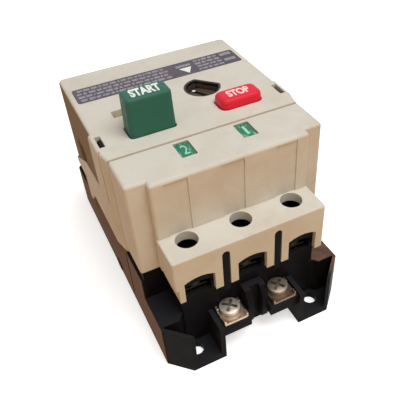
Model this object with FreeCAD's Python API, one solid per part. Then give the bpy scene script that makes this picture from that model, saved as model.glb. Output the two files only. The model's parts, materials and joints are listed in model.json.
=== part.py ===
import FreeCAD, Part
import math
import os

os.makedirs("parts", exist_ok=True)
Vec = FreeCAD.Vector

# Motor protection circuit breaker, in millimetres.
# X runs across the three poles, -Y is the load side, Z = 0 is the mounting plane.

# Poles
POLE_PITCH = 17.5
POLES = (-POLE_PITCH, 0.0, POLE_PITCH)
BARRIER_X = POLE_PITCH / 2
BARRIER_HALF = 1.0
BARRIER_LOW = 24.0
BARRIER_STEP_Y = (-13.5, -3.5)

# Beige covers
TOP = 63.0
ROOF = 2.2
CEILING = TOP - ROOF
HALF_WIDTH = 31.2
REAR_HALF = 31.9
SIDE_WALL = 2.0
COLUMN_FRONT = -33.0
COLUMN_FOOT = 29.6
PANEL_FRONT = -35.6
PANEL_HALF = 25.15
PANEL_WALL = 1.8
REAR = 35.6
SKIRT_FOOT = 20.0
SKIRT_FRONT_FOOT = 26.5
SKIRT_SLOPE_Y = (14.0, 20.5)
SKIRT_REAR = 23.0
SKIRT_GAP = 0.2
SEAM = -19.3
SEAM_GAP = 0.3
SEAM_GROOVE = 0.55
TOP_ROUND = 1.1
REAR_CORNER_ROUND = 2.0
FLANK_HALF = 32.5
FLANK_Y = (-13.0, -3.8)
FLANK_BEND = (14.5, 41.3)
FLANK_EDGE_Z = (43.0, 30.0)
FLANK_GROOVE_X = 31.7
FLANK_GROOVE_Y = (-14.1, -13.4)
FLANK_GROOVE_FOOT = 43.5

# Terminal hood
HOOD_HALF = 25.35
HOOD_FRONT = -46.3
HOOD_TOP = 42.8
HOOD_FOOT = 25.8
HOOD_WALL = 1.5
HOOD_ROOF = 3.2
HOOD_INNER_BACK = -31.0
SIDE_FOOT = 31.3
TERMINAL_Y = -38.95
DRIVER_HOLE_RADIUS = 3.45
ARCH_HALF = 4.925
ARCH_SPRING = 33.1
ARCH_RISE = 1.25
SLOT_WIDTH = 2.6
SLOT_TOP = 40.1
CHANNEL_WIDTH = 7.1
CHANNEL_DEPTH = 0.35

# Base
BASE_HALF = 31.6
FOOT_END = 52.95
FOOT_INNER = 14.0
FOOT_FLOOR = 2.4
FOOT_CHAMFER = 6.6
FOOT_SKIN = 1.0
FOOT_WALL = 1.6
FOOT_WALL_TOP = 17.5
FOOT_HOLE_X = 21.5
FOOT_HOLE_Y = 47.2
FOOT_HOLE_RADIUS = 2.25
FOOT_HEAD_RADIUS = 4.0
FOOT_RAIL_X = (13.6, 15.2)
FOOT_RAIL_TOP = 14.5
BASE_WALL = 2.0
SIDE_LOW_END = 45.0
SIDE_HIGH_END = 32.6
LUG_Y = (-3.2, 2.0)
LUG_Z = (2.0, 4.6)
LUG_REACH = 0.4
SIDE_REBATE = 0.9
SIDE_REBATE_FOOT = 26.0
SIDE_GROOVE = 0.6
SIDE_GROOVE_Y = (-17.4, -16.2)
SIDE_GROOVE_Z = (3.5, 24.0)
FLOOR = 3.0
CHAMBER_HALF = 23.2
CHAMBER_FRONT = -44.0
CHAMBER_BACK = -33.0
CHAMBER_WALL = 1.3
CHAMBER_TOP = 39.4
BLOCK_GAP = 0.1
BED = 23.0
WIRE_SILL = BED + 1.6
INNER_ARCH_HALF = 4.3
INNER_ARCH_SPRING = 30.0
INNER_ARCH_RISE = 1.1
LEDGE_FRONT = -45.5
LEDGE_BACK = -31.0
AUX_SHELF_FRONT = -51.6
AUX_SHELF_TOP = 13.2
AUX_SHELF_FOOT = 8.8
AUX_Y = -46.5
AUX_HEAD_RADIUS = 3.3
AUX_NICHE_RADIUS = 3.5
AUX_STRIP_Y = (-42.5, -40.0)
AUX_RUN_Z = (36.0, 39.0)
AUX_PLATE_Y = (-51.5, -44.0)
AUX_LUG_LENGTH = 1.9
AUX_RECESS_TURN = 40.0
DIVIDER_HALF = 3.6
DIVIDER_CHANNEL_HALF = 1.6
DIVIDER_CHANNEL_BACK = -46.2
DIVIDER_FRONT = -49.6
DIVIDER_TOP = 20.5
AUX_STRIP = 0.8
AUX_TAIL_Y = (-32.0, -30.0)
AUX_TAIL_TOP = 44.0
LOAD_PAD_Y = (-30.0, -23.5)
LINE_PAD_Y = (23.0, 30.0)
PAD_HALF = 3.0

# Terminals
MAIN_HEAD_RADIUS = 3.4
MAIN_HEAD_HEIGHT = 2.8
MAIN_SHANK_RADIUS = 2.0
MAIN_SCREW_FOOT = 16.5
MAIN_CLEAR_RADIUS = 2.05
CLAMP_HALF_X = 4.1
CLAMP_HALF_Y = 3.3
CLAMP_HEIGHT = 1.6
BAR_END = 42.3
BAR_CRANK_Y = 22.5
BAR_TIP_REACH = 3.2
AUX_HEAD_HEIGHT = 2.1
AUX_SHANK_RADIUS = 1.5
AUX_CLEAR_RADIUS = 1.55
AUX_SCREW_FOOT = 7.5
AUX_PLATE = 1.0
AUX_PLATE_HALF = 4.15
AUX_LUG_RISE = 1.9

# Push buttons and the rocker between them
BUTTON_Y = -8.8
BUTTON_DEPTH = 7.5
BUTTON_TRAVEL = 8.2
BUTTON_GAP = 0.25
START_X = -14.3
START_WIDTH = 14.7
START_TOP = 75.4
START_TAPER = 0.7
START_ROUND = 1.0
START_CORNER = 1.3
STOP_X = 15.6
STOP_WIDTH = 14.4
STOP_TOP = 66.2
STOP_TAPER = 0.2
STOP_ROUND = 1.4
STOP_CORNER = 2.2
FLANGE_RIM = 1.0
FLANGE_HEIGHT = 2.3
FLANGE_TOP = CEILING - 0.5
GUIDE_WALL = 1.2
GUIDE_GAP = 0.3
GUIDE_FOOT = 49.8
STEM_LENGTH = 8.0
STEM_HALF_X = 2.5
STEM_HALF_Y = 2.5
NOTCH_BELOW_FLANGE = 3.0
NOTCH_HEIGHT = 3.3
NOTCH_DEPTH = 2.1
ROCKER_X = (START_X + STOP_X) / 2
ROCKER_ARM = (STOP_X - START_X) / 2
ROCKER_Z = FLANGE_TOP - FLANGE_HEIGHT - NOTCH_BELOW_FLANGE - BUTTON_TRAVEL / 2
ROCKER_TILT = math.degrees(math.asin(BUTTON_TRAVEL / 2 / ROCKER_ARM))
ROCKER_HALF_Y = 2.0
ROCKER_PIN_RADIUS = 1.25
RUNNING_GAP = 0.05

# Setting dial
DIAL_X = 9.3
DIAL_Y = 4.9
DIAL_HOLE_RADIUS = 6.2
DIAL_FLAT = 4.2
DIAL_FLAT_TURN = 42.0
DIAL_WELL_WALL = 0.6
DIAL_RADIUS = 5.2
DIAL_TOP = 60.2
DIAL_SHAFT_RADIUS = 2.0
CAM_RADIUS = 2.5
CAM_OFFSET = 0.8
CAM_TOP = 37.0
DIAL_SHAFT_FOOT = 33.5
DIAL_THICKNESS = 2.8
DIAL_SLOT_HALF = 0.7
DIAL_SLOT_TURN = 30.0

# Mechanism frame
FRAME_Z = 38.0
SHEET = 1.2
CHEEK_GAP = 0.3
LATCH_X = (12.0, 14.0)
LATCH_Y = -16.5
LATCH_Z = 44.0
LATCH_PIN_RADIUS = 1.0
LATCH_TOP = 49.4
FRAME_PLATE_X = (-24.0, 25.0)
FRAME_PLATE_Y = (-13.0, -4.3)
DIAL_TAB_HALF = 4.2
CHEEK_HALF = 3.4
EAR_HALF = 2.0
POST_WAY_X = (-7.8, -2.9)
POST_WAY_Y = (-11.3, -6.2)

# Contacts
CONTACT_Y = 10.8
CONTACT_SPAN = 5.5
CARRIER_Z = 30.0
BRIDGE_Z = 26.0
BRIDGE_THICKNESS = 1.2
TIP_RADIUS = 2.2
TIP_THICKNESS = 0.8
CARRIER_TRAVEL = 3.5
CARRIER_HALF = 28.3
CARRIER_BAR = 4.0
CARRIER_ARM_X = (-7.2, -3.4)
CARRIER_PAD_TOP = 50.7
BRIDGE_WIDTH = 7.4
BRIDGE_LENGTH = 16.0
STRIP = 1.5
FIXED_TOP = BRIDGE_Z - TIP_THICKNESS - CARRIER_TRAVEL - 0.2 - TIP_THICKNESS
OPENING_SPRING_X = 25.7
OPENING_SPRING_FOOT = 18.0
SPRING_POST_RADIUS = 3.2
SPRING_PIN_RADIUS = 1.3
ARC_FOOT = 6.2
ARC_TOP = 18.0
ARC_PITCH = 2.2
ARC_PLATE = 0.8
ARC_PLATES = 5
ARC_HALF = 5.0
ARC_BACK = 29.8

# Trip unit
BIMETAL_Y = -25.0
BIMETAL_FOOT = 6.0
BIMETAL_TOP = 40.0
TRIP_BAR_Y = (-22.3, -20.3)
TRIP_BAR_Z = (36.0, 40.0)
COIL_Y = -12.0
COIL_FOOT = 4.0
COIL_TOP = 19.0
PLUNGER_RADIUS = 2.4
PLUNGER_PIN_RADIUS = 1.2
COIL_CORE_RADIUS = 3.2
COIL_FLANGE_RADIUS = 6.0
YOKE = 1.0
YOKE_Y = (-19.6, -6.0)
TRIP_BAR_HALF = 24.0
TRIP_ARM_X = (10.2, 13.2)
TRIP_ARM_END = -0.6
TRIP_ARM_Z = (33.2, 36.2)
TRIP_FINGER_Z = (37.4, 39.4)
HEATER_FOOT = 12.0
HEATER_PITCH = 3.4
HEATER_WIDTH = 2.0
HEATER_TURNS = 5

# Windows, label and recesses of the operating face
WINDOW_X = 9.8
WINDOW_Y = -24.65
WINDOW_WIDTH = 4.9
WINDOW_LENGTH = 7.5
WINDOW_TAB_TOP = TOP - 0.3
LABEL_HALF = 29.9
LABEL_Y = (15.0, 24.8)
LABEL_SINK = 0.25
LABEL_CORNER = 0.9
SNAP_X = (29.3, 31.1)
SNAP_Y = (-12.1, -6.0)
SNAP_WAY_INNER = 29.0
SNAP_ARM_GAP = 0.2
SNAP_ARM_TOP = TOP - 1.2
RECESS_X = (-22.4, -11.5)
RECESS_Y = (1.35, 5.35)
RECESS_DEPTH = 1.5
AUX_BLOCK_Y = -26.7
AUX_BLOCK_WIDTH = 12.4
AUX_BLOCK_DEPTH = 13.6
AUX_BLOCK_Z = (41.0, 60.4)

# Housing screws
SCREW_X = 26.6
SCREW_Y = 26.5
SCREW_RADIUS = 1.5
BOSS_RADIUS = 3.0
BASE_BOSS_RADIUS = 3.06
BOSS_FOOT_RADIUS = 4.6
BOSS_FOOT_HEIGHT = 6.0
SCREW_HEAD_WAY = 3.3
SCREW_HEAD_RADIUS = 2.9
SCREW_SEAT = 3.5
SCREW_TIP = 45.8
PILOT_TOP = 46.0

# Spring wire
WIRE_SIDES = 6


def block(x, y, z):
    return Part.makeBox(x[1] - x[0], y[1] - y[0], z[1] - z[0], Vec(x[0], y[0], z[0]))


def rod_x(radius, x, y, z):
    return Part.makeCylinder(radius, x[1] - x[0], Vec(x[0], y, z), Vec(1, 0, 0))


def rod_y(radius, x, y, z):
    return Part.makeCylinder(radius, y[1] - y[0], Vec(x, y[0], z), Vec(0, 1, 0))


def rod_z(radius, x, y, z):
    return Part.makeCylinder(radius, z[1] - z[0], Vec(x, y, z[0]))


def prism_x(outline, x):
    points = [Vec(x[0], y, z) for y, z in outline]
    return Part.Face(Part.makePolygon(points + points[:1])).extrude(Vec(x[1] - x[0], 0, 0))


def prism_y(outline, y):
    points = [Vec(x, y[0], z) for x, z in outline]
    return Part.Face(Part.makePolygon(points + points[:1])).extrude(Vec(0, y[1] - y[0], 0))


def prism_z(outline, z):
    points = [Vec(x, y, z[0]) for x, y in outline]
    return Part.Face(Part.makePolygon(points + points[:1])).extrude(Vec(0, 0, z[1] - z[0]))


def rounded_wire(x, y, width, depth, corner, z):
    """Rectangle with round corners about (x, y)."""
    half_x = width / 2 - corner
    half_y = depth / 2 - corner
    edges = []
    for turn, (side_x, side_y) in enumerate(((1, 1), (-1, 1), (-1, -1), (1, -1))):
        centre = Vec(x + side_x * half_x, y + side_y * half_y, z)
        arc = Part.makeCircle(corner, centre, Vec(0, 0, 1), 90 * turn, 90 * turn + 90)
        edges.append(arc)
    lines = []
    for first, second in zip(edges, edges[1:] + edges[:1]):
        lines.append(Part.makeLine(first.Vertexes[1].Point, second.Vertexes[0].Point))
    return Part.Wire([edge for pair in zip(edges, lines) for edge in pair])


def rounded_prism(x, y, width, depth, corner, z):
    face = Part.Face(rounded_wire(x, y, width, depth, corner, z[0]))
    return face.extrude(Vec(0, 0, z[1] - z[0]))


def joined(first, *others):
    return first.fuse(list(others)).removeSplitter()


def mirrored_x(shape):
    return shape.mirror(Vec(0, 0, 0), Vec(1, 0, 0))


def mirrored_y(shape):
    return shape.mirror(Vec(0, 0, 0), Vec(0, 1, 0))


def both_sides(shape):
    return [shape, mirrored_x(shape)]


def four_corners(shape):
    return both_sides(shape) + both_sides(mirrored_y(shape))


def upright_edges(shape, corners):
    """Vertical edges that stand on the given (x, y) corners."""
    found = []
    for edge in shape.Edges:
        low, high = edge.BoundBox.ZMin, edge.BoundBox.ZMax
        if high - low < 1 or edge.BoundBox.DiagonalLength > (high - low) * 1.0001:
            continue
        if any(math.hypot(edge.BoundBox.XMin - x, edge.BoundBox.YMin - y) < 0.01 for x, y in corners):
            found.append(edge)
    return found


def level_edges(shape, z, kept_y=None):
    """Edges that lie at height z, apart from one along y = kept_y."""
    found = []
    for edge in shape.Edges:
        bounds = edge.BoundBox
        if abs(bounds.ZMin - z) > 0.001 or abs(bounds.ZMax - z) > 0.001:
            continue
        if kept_y is not None and max(abs(bounds.YMin - kept_y), abs(bounds.YMax - kept_y)) < 0.001:
            continue
        found.append(edge)
    return found


def arch_prism(x, half, foot, spring, rise, y):
    """Upright opening with a shallow arc on top, along Y."""
    left, right = Vec(x - half, y[0], spring), Vec(x + half, y[0], spring)
    crown = Part.Arc(left, Vec(x, y[0], spring + rise), right).toShape()
    low_right, low_left = Vec(x + half, y[0], foot), Vec(x - half, y[0], foot)
    sides = Part.makePolygon([right, low_right, low_left, left]).Edges
    return Part.Face(Part.Wire([crown] + sides)).extrude(Vec(0, y[1] - y[0], 0))


def coil_spring(x, y, z, radius, wire, turns):
    """Open coil spring about a vertical axis, with wire centres between the two seats."""
    height = z[1] - z[0] - 2 * wire
    helix = Part.makeHelix(height / turns, height, radius)
    corners = []
    for turn in range(WIRE_SIDES):
        angle = 2 * math.pi * turn / WIRE_SIDES
        corners.append(Vec(radius + wire * math.cos(angle), 0, wire * math.sin(angle)))
    section = Part.makePolygon(corners + corners[:1])
    spring = Part.Wire(helix).makePipeShell([section], True, True)
    spring.translate(Vec(x, y, z[0] + wire))
    return spring


def turned(profile, x, y):
    """Solid of revolution from (radius, z) pairs about the vertical through (x, y)."""
    points = [Vec(x + radius, y, z) for radius, z in profile]
    face = Part.Face(Part.makePolygon(points + points[:1]))
    return face.revolve(Vec(x, y, 0), Vec(0, 0, 1), 360)


def cross_recess(x, y, top, length, width, depth):
    along = block((x - length / 2, x + length / 2), (y - width / 2, y + width / 2), (top - depth, top + 1))
    across = block((x - width / 2, x + width / 2), (y - length / 2, y + length / 2), (top - depth, top + 1))
    return along.fuse(across)


def screw_shank(radius, foot):
    """Lower end of a screw's profile, with a bevelled tip."""
    return [(0, foot), (radius - 0.4, foot), (radius, foot + 0.6)]


def terminal_screw(x, y):
    """Main terminal screw with a bevelled head and a cross recess."""
    seat = BED + STRIP + CLAMP_HEIGHT
    top = seat + MAIN_HEAD_HEIGHT
    profile = screw_shank(MAIN_SHANK_RADIUS, MAIN_SCREW_FOOT) + [
        (MAIN_SHANK_RADIUS, seat),
        (MAIN_HEAD_RADIUS, seat),
        (MAIN_HEAD_RADIUS, seat + MAIN_HEAD_HEIGHT * 0.7),
        (MAIN_HEAD_RADIUS - 0.7, top),
        (0, top),
    ]
    recess = cross_recess(x, y, top, MAIN_HEAD_RADIUS * 1.25, 0.9, MAIN_HEAD_HEIGHT * 0.5)
    return turned(profile, x, y).cut(recess)


def aux_terminal_screw(x, y):
    """Auxiliary terminal screw with a slightly domed head and a turned cross recess."""
    seat = AUX_SHELF_TOP + AUX_PLATE
    top = seat + AUX_HEAD_HEIGHT
    shank_end = [(AUX_SHANK_RADIUS, seat + 0.1), (0, seat + 0.1)]
    shank = turned(screw_shank(AUX_SHANK_RADIUS, AUX_SCREW_FOOT) + shank_end, x, y)
    crown = AUX_HEAD_HEIGHT * 0.22
    sphere_radius = (AUX_HEAD_RADIUS**2 + crown**2) / (2 * crown)
    dome = Part.makeSphere(sphere_radius, Vec(x, y, top - sphere_radius))
    head = rod_z(AUX_HEAD_RADIUS, x, y, (seat, top)).common(dome)
    recess = cross_recess(x, y, top, AUX_HEAD_RADIUS * 1.5, 1.0, AUX_HEAD_HEIGHT * 0.65)
    recess.rotate(Vec(x, y, 0), Vec(0, 0, 1), AUX_RECESS_TURN)
    return joined(shank, head).cut(recess)


def save(name, *shapes):
    solids = [solid for shape in shapes for solid in shape.Solids]
    whole = solids[0] if len(solids) == 1 else Part.makeCompound(solids)
    whole.exportStep("parts/" + name + ".step")
    print(name, len(solids), round(sum(solid.Volume for solid in solids), 1), whole.isValid())


# Base

def foot_corner():
    """Right screw foot at the load side: floor, bevelled corner wall and the wall beside the terminals."""
    bevel = BASE_HALF - FOOT_CHAMFER
    shoulder = -FOOT_END + FOOT_CHAMFER
    floor = prism_z(
        [
            (FOOT_INNER, -FOOT_END),
            (bevel, -FOOT_END),
            (BASE_HALF, shoulder),
            (BASE_HALF, CHAMBER_FRONT),
            (FOOT_INNER, CHAMBER_FRONT),
        ],
        (0, FOOT_FLOOR),
    )
    slant = FOOT_SKIN * math.sqrt(2)
    inner = BASE_HALF - FOOT_SKIN
    wall = prism_z(
        [
            (bevel, -FOOT_END),
            (BASE_HALF, shoulder),
            (BASE_HALF, CHAMBER_FRONT),
            (inner, CHAMBER_FRONT),
            (inner, shoulder - FOOT_SKIN + slant),
            (bevel - slant, -FOOT_END),
        ],
        (0, FOOT_WALL_TOP),
    )
    beside = block(FOOT_RAIL_X, (-FOOT_END, CHAMBER_FRONT), (0, FOOT_RAIL_TOP))
    return joined(floor, wall, beside)


def foot_screw_way():
    """Hole for a mounting screw, with room for its head where the side ledge comes near."""
    hole = rod_z(FOOT_HOLE_RADIUS, FOOT_HOLE_X, -FOOT_HOLE_Y, (-1, FOOT_FLOOR + 1))
    head_room = rod_z(FOOT_HEAD_RADIUS, FOOT_HOLE_X, -FOOT_HOLE_Y, (FOOT_FLOOR, FOOT_WALL_TOP + 1))
    return hole.fuse(head_room)


def side_ledge():
    """Hollow ledge beside the terminal block, with the wall under the cover's column."""
    x = (CHAMBER_HALF + BLOCK_GAP, BASE_HALF)
    ledge = block(x, (LEDGE_FRONT, LEDGE_BACK), (0, FOOT_WALL_TOP))
    column_wall = block(x, (LEDGE_BACK - FOOT_WALL, LEDGE_BACK), (0, COLUMN_FOOT - SKIRT_GAP))
    return joined(ledge, column_wall)


def ledge_pocket():
    """Moulding pocket under a side ledge."""
    x = (CHAMBER_HALF + BLOCK_GAP + FOOT_WALL, BASE_HALF - FOOT_WALL)
    return block(x, (LEDGE_FRONT + FOOT_WALL, LEDGE_BACK - FOOT_WALL), (-1, FOOT_WALL_TOP - 2))


def terminal_chambers():
    """Three terminal chambers on one bed, each with an arched wire entry, hollow under the bed."""
    span = (-CHAMBER_HALF, CHAMBER_HALF)
    chambers = block(span, (CHAMBER_FRONT, CHAMBER_BACK), (FLOOR, CHAMBER_TOP))
    limit = CHAMBER_HALF - CHAMBER_WALL
    reach = BARRIER_X - BARRIER_HALF - 0.1
    for x in POLES:
        low, high = max(x - reach, -limit), min(x + reach, limit)
        room = block((low, high), (CHAMBER_FRONT + 1.4, CHAMBER_BACK - 1.4), (BED, CHAMBER_TOP + 1))
        entry_y = (CHAMBER_FRONT - 1, CHAMBER_FRONT + 2)
        entry = arch_prism(x, INNER_ARCH_HALF, WIRE_SILL, INNER_ARCH_SPRING, INNER_ARCH_RISE, entry_y)
        bar_way = block((x - 4.2, x + 4.2), (CHAMBER_BACK - 2, CHAMBER_BACK + 1), (BED, BED + 2.2))
        screw_way = rod_z(2.1, x, TERMINAL_Y, (FLOOR, BED + 1))
        pocket = block((x - 5.6, x + 5.6), (CHAMBER_FRONT + 2, CHAMBER_BACK - 1.6), (FLOOR - 1, BED - 2.5))
        chambers = chambers.cut([room, entry, bar_way, screw_way, pocket])
    return chambers


def load_terminal_block():
    niche = rod_z(AUX_NICHE_RADIUS, BARRIER_X, AUX_Y, (AUX_SHELF_TOP, BED - 3))
    cuts = both_sides(aux_conductor(0.05)) + both_sides(niche)
    return joined(terminal_chambers(), aux_shelf()).cut(cuts)


def pole_barrier():
    """Wall between two poles, between the terminal blocks, stepped to carry the mechanism frame."""
    y = CHAMBER_BACK + BLOCK_GAP
    return prism_x(
        [
            (y, FLOOR),
            (-y, FLOOR),
            (-y, BARRIER_LOW),
            (BARRIER_STEP_Y[1], BARRIER_LOW),
            (BARRIER_STEP_Y[1], FRAME_Z),
            (BARRIER_STEP_Y[0], FRAME_Z),
            (BARRIER_STEP_Y[0], TRIP_BAR_Z[0] - 0.2),
            (y, TRIP_BAR_Z[0] - 0.2),
        ],
        (BARRIER_X - BARRIER_HALF, BARRIER_X + BARRIER_HALF),
    )


def aux_shelf():
    """Shelves of the two auxiliary terminals and the block between them."""
    shelf_y = (AUX_SHELF_FRONT, CHAMBER_FRONT + 1)
    shelf = block((3.5, FOOT_INNER - 0.5), shelf_y, (AUX_SHELF_FOOT, AUX_SHELF_TOP))
    screw_way = rod_z(1.6, BARRIER_X, AUX_Y, (AUX_SHELF_FOOT - 1, AUX_SHELF_TOP + 1))
    divider = prism_x(
        [
            (CHAMBER_FRONT + 1, 3.0),
            (DIVIDER_FRONT + 0.6, 7.0),
            (DIVIDER_FRONT, 9.0),
            (DIVIDER_FRONT, DIVIDER_TOP - 4),
            (DIVIDER_FRONT + 2, DIVIDER_TOP),
            (CHAMBER_FRONT + 1, DIVIDER_TOP),
        ],
        (-DIVIDER_HALF, DIVIDER_HALF),
    )
    channel_y = (AUX_SHELF_FRONT, DIVIDER_CHANNEL_BACK)
    channel = block((-DIVIDER_CHANNEL_HALF, DIVIDER_CHANNEL_HALF), channel_y, (FLOOR - 1, BED))
    return joined(divider.cut(channel), *both_sides(shelf.cut(screw_way)))


def aux_conductor(grow=0.0):
    """Right auxiliary conductor: tongue on the shelf, strip in the barrier, tail into the contact block."""
    half = AUX_STRIP / 2 + grow
    tongue = block(
        (BARRIER_X - 3.2 - grow, BARRIER_X + 3.2 + grow),
        (AUX_SHELF_FRONT + 0.6 - grow, CHAMBER_FRONT + 0.2),
        (AUX_SHELF_TOP - AUX_STRIP - grow, AUX_SHELF_TOP),
    )
    strip = prism_x(
        [
            (CHAMBER_FRONT - 1.0 - grow, AUX_SHELF_TOP - AUX_STRIP - grow),
            (AUX_STRIP_Y[1] + grow, AUX_SHELF_TOP - AUX_STRIP - grow),
            (AUX_STRIP_Y[1] + grow, AUX_RUN_Z[0] - grow),
            (AUX_TAIL_Y[1] + grow, AUX_RUN_Z[0] - grow),
            (AUX_TAIL_Y[1] + grow, AUX_TAIL_TOP + grow),
            (AUX_TAIL_Y[0] - grow, AUX_TAIL_TOP + grow),
            (AUX_TAIL_Y[0] - grow, AUX_RUN_Z[1] + grow),
            (AUX_STRIP_Y[0] - grow, AUX_RUN_Z[1] + grow),
            (AUX_STRIP_Y[0] - grow, AUX_SHELF_TOP),
            (CHAMBER_FRONT - 1.0 - grow, AUX_SHELF_TOP),
        ],
        (BARRIER_X - half, BARRIER_X + half),
    )
    return joined(tongue, strip)


def base():
    tray = block((-BASE_HALF, BASE_HALF), (CHAMBER_FRONT, -CHAMBER_FRONT), (0, FLOOR))
    wall_x = (BASE_HALF - BASE_WALL, BASE_HALF)
    side_low = block(wall_x, (-SIDE_LOW_END, SIDE_LOW_END), (0, FOOT_WALL_TOP))
    side_high = block(wall_x, (-SIDE_HIGH_END, SIDE_HIGH_END), (0, COLUMN_FOOT - SKIRT_GAP))
    dip_line = [(SEAM, TOP), *skirt_line(SKIRT_GAP), (SKIRT_REAR + SKIRT_GAP, TOP)]
    side_dip = prism_x(dip_line, (BASE_HALF - BASE_WALL - 1, BASE_HALF + 1))
    lug_x = (BASE_HALF - 0.5, BASE_HALF + LUG_REACH)
    side_lug = prism_z(
        [
            (lug_x[0], LUG_Y[0]),
            (lug_x[1], LUG_Y[0] + 0.6),
            (lug_x[1], LUG_Y[1] - 0.6),
            (lug_x[0], LUG_Y[1]),
        ],
        LUG_Z,
    )
    rebate_y = (-SIDE_HIGH_END - 1, SEAM)
    rebate = block((BASE_HALF - SIDE_REBATE, BASE_HALF + 1), rebate_y, (SIDE_REBATE_FOOT, TOP))
    groove = block((BASE_HALF - SIDE_GROOVE, BASE_HALF + 1), SIDE_GROOVE_Y, SIDE_GROOVE_Z)
    side = joined(side_low, side_high).cut([side_dip, groove]).fuse(side_lug)
    boss = joined(
        rod_z(BOSS_FOOT_RADIUS, SCREW_X - 0.4, -SCREW_Y, (0, BOSS_FOOT_HEIGHT)),
        rod_z(BASE_BOSS_RADIUS, SCREW_X, -SCREW_Y, (0, COLUMN_FOOT - SKIRT_GAP)),
    )
    spring_post = rod_z(SPRING_POST_RADIUS, OPENING_SPRING_X, CONTACT_Y, (0, OPENING_SPRING_FOOT))
    spring_pin = rod_z(SPRING_PIN_RADIUS, OPENING_SPRING_X, CONTACT_Y, (0, OPENING_SPRING_FOOT + 2))
    pads = []
    for x in POLES:
        pad_x = (x - PAD_HALF, x + PAD_HALF)
        pads.append(block(pad_x, LOAD_PAD_Y, (FLOOR - 1, BIMETAL_FOOT - STRIP)))
        pads.append(block(pad_x, LINE_PAD_Y, (FLOOR - 1, ARC_FOOT)))
    body = joined(
        tray,
        *both_sides(side),
        *four_corners(foot_corner()),
        *four_corners(side_ledge()),
        *four_corners(boss),
        *both_sides(spring_post),
        *both_sides(spring_pin),
        *pads,
    )
    screw_ways = joined(
        rod_z(SCREW_RADIUS + 0.1, SCREW_X, -SCREW_Y, (-1, COLUMN_FOOT + 1)),
        rod_z(SCREW_HEAD_WAY, SCREW_X, -SCREW_Y, (-1, SCREW_SEAT)),
    )
    cuts = four_corners(screw_ways) + four_corners(ledge_pocket()) + four_corners(foot_screw_way())
    return body.cut(cuts + both_sides(rebate))


def snap_arm():
    """Right snap arm on the base's side wall; its bevelled end shows in the slot of the operating face."""
    x = (SNAP_X[0] + SNAP_ARM_GAP, SNAP_X[1] - SNAP_ARM_GAP)
    y = (SNAP_Y[0] + SNAP_ARM_GAP, SNAP_Y[1] - SNAP_ARM_GAP)
    foot = SKIRT_FRONT_FOOT - SKIRT_GAP
    bevel = (x[1] - x[0]) / 2
    outline = [
        (x[0], foot),
        (x[1], foot),
        (x[1], SNAP_ARM_TOP - bevel),
        (x[1] - bevel, SNAP_ARM_TOP),
        (x[0], SNAP_ARM_TOP),
    ]
    return prism_y(outline, y)


# Beige covers

def terminal_hood():
    """Hood over the load terminals: driver holes in the roof, wire arches and barrier slots in the front."""
    outer = block((-HOOD_HALF, HOOD_HALF), (HOOD_FRONT, PANEL_FRONT + PANEL_WALL), (HOOD_FOOT, HOOD_TOP))
    front = [(-HOOD_HALF, HOOD_FRONT), (HOOD_HALF, HOOD_FRONT)]
    outer = outer.makeFillet(0.8, upright_edges(outer, front))
    outer = outer.makeFillet(0.5, level_edges(outer, HOOD_TOP, PANEL_FRONT + PANEL_WALL))
    inner_half = HOOD_HALF - HOOD_WALL
    inner_y = (HOOD_FRONT + HOOD_WALL, HOOD_INNER_BACK)
    inside = block((-inner_half, inner_half), inner_y, (HOOD_FOOT - 1, HOOD_TOP - HOOD_ROOF))
    cuts = [inside]
    through = (HOOD_FRONT - 1, HOOD_FRONT + HOOD_WALL + 1)
    for x in POLES:
        cuts.append(rod_z(DRIVER_HOLE_RADIUS, x, TERMINAL_Y, (HOOD_TOP - 4, HOOD_TOP + 0.01)))
        cuts.append(arch_prism(x, ARCH_HALF, HOOD_FOOT - 1, ARCH_SPRING, ARCH_RISE, through))
    slot_centre = SLOT_TOP - SLOT_WIDTH / 2
    for x in (-BARRIER_X, BARRIER_X):
        cuts.append(block((x - SLOT_WIDTH / 2, x + SLOT_WIDTH / 2), through, (HOOD_FOOT - 1, slot_centre)))
        cuts.append(rod_y(SLOT_WIDTH / 2, x, through, slot_centre))
    side_end = HOOD_HALF - 1.15
    cuts.append(block((-HOOD_HALF - 1, -side_end), (HOOD_FRONT - 1, -30), (HOOD_FOOT - 1, SIDE_FOOT)))
    cuts.append(block((side_end, HOOD_HALF + 1), (HOOD_FRONT + HOOD_WALL, -30), (HOOD_FOOT - 1, SIDE_FOOT)))
    return outer.cut(cuts)


def line_hood():
    """Hood over the line terminals, with two tongues in slots of the housing's rear wall."""
    hood = mirrored_y(terminal_hood()).cut(block((-HALF_WIDTH, HALF_WIDTH), (0, REAR), (0, TOP)))
    return joined(hood, *both_sides(hood_tongue(0)))


def hood_tongue(gap):
    """Right tongue of the line hood, or with a gap the slot for it in the housing's rear wall."""
    y = (REAR - SIDE_WALL - 0.6, REAR + 0.5)
    return block((8 - gap, 16 + gap), y, (HOOD_TOP - 2.3 - gap, HOOD_TOP - 1.1 + gap))


def skirt_line(gap):
    """Lower edge of the housing's skirt as (y, z) points from seam to rear step, lowered by the gap."""
    return [
        (SEAM, SKIRT_FRONT_FOOT - gap),
        (SKIRT_SLOPE_Y[0] - gap, SKIRT_FRONT_FOOT - gap),
        (SKIRT_SLOPE_Y[1] - gap, SKIRT_FOOT - gap),
        (SKIRT_REAR + gap, SKIRT_FOOT - gap),
    ]


def seam_grooves():
    """Vees along the joint between the two covers, on the top and on both flanks."""
    deep, wide = SEAM_GROOVE, SEAM_GROOVE + 1
    top_vee = [(SEAM - wide, TOP + 1), (SEAM, TOP - deep), (SEAM + wide, TOP + 1)]
    flank_vee = [(HALF_WIDTH - deep, SEAM), (HALF_WIDTH + 1, SEAM - wide), (HALF_WIDTH + 1, SEAM + wide)]
    top = prism_x(top_vee, (-FLANK_HALF, FLANK_HALF))
    return [top, *both_sides(prism_z(flank_vee, (SKIRT_FOOT - 1, TOP + 1)))]


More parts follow.
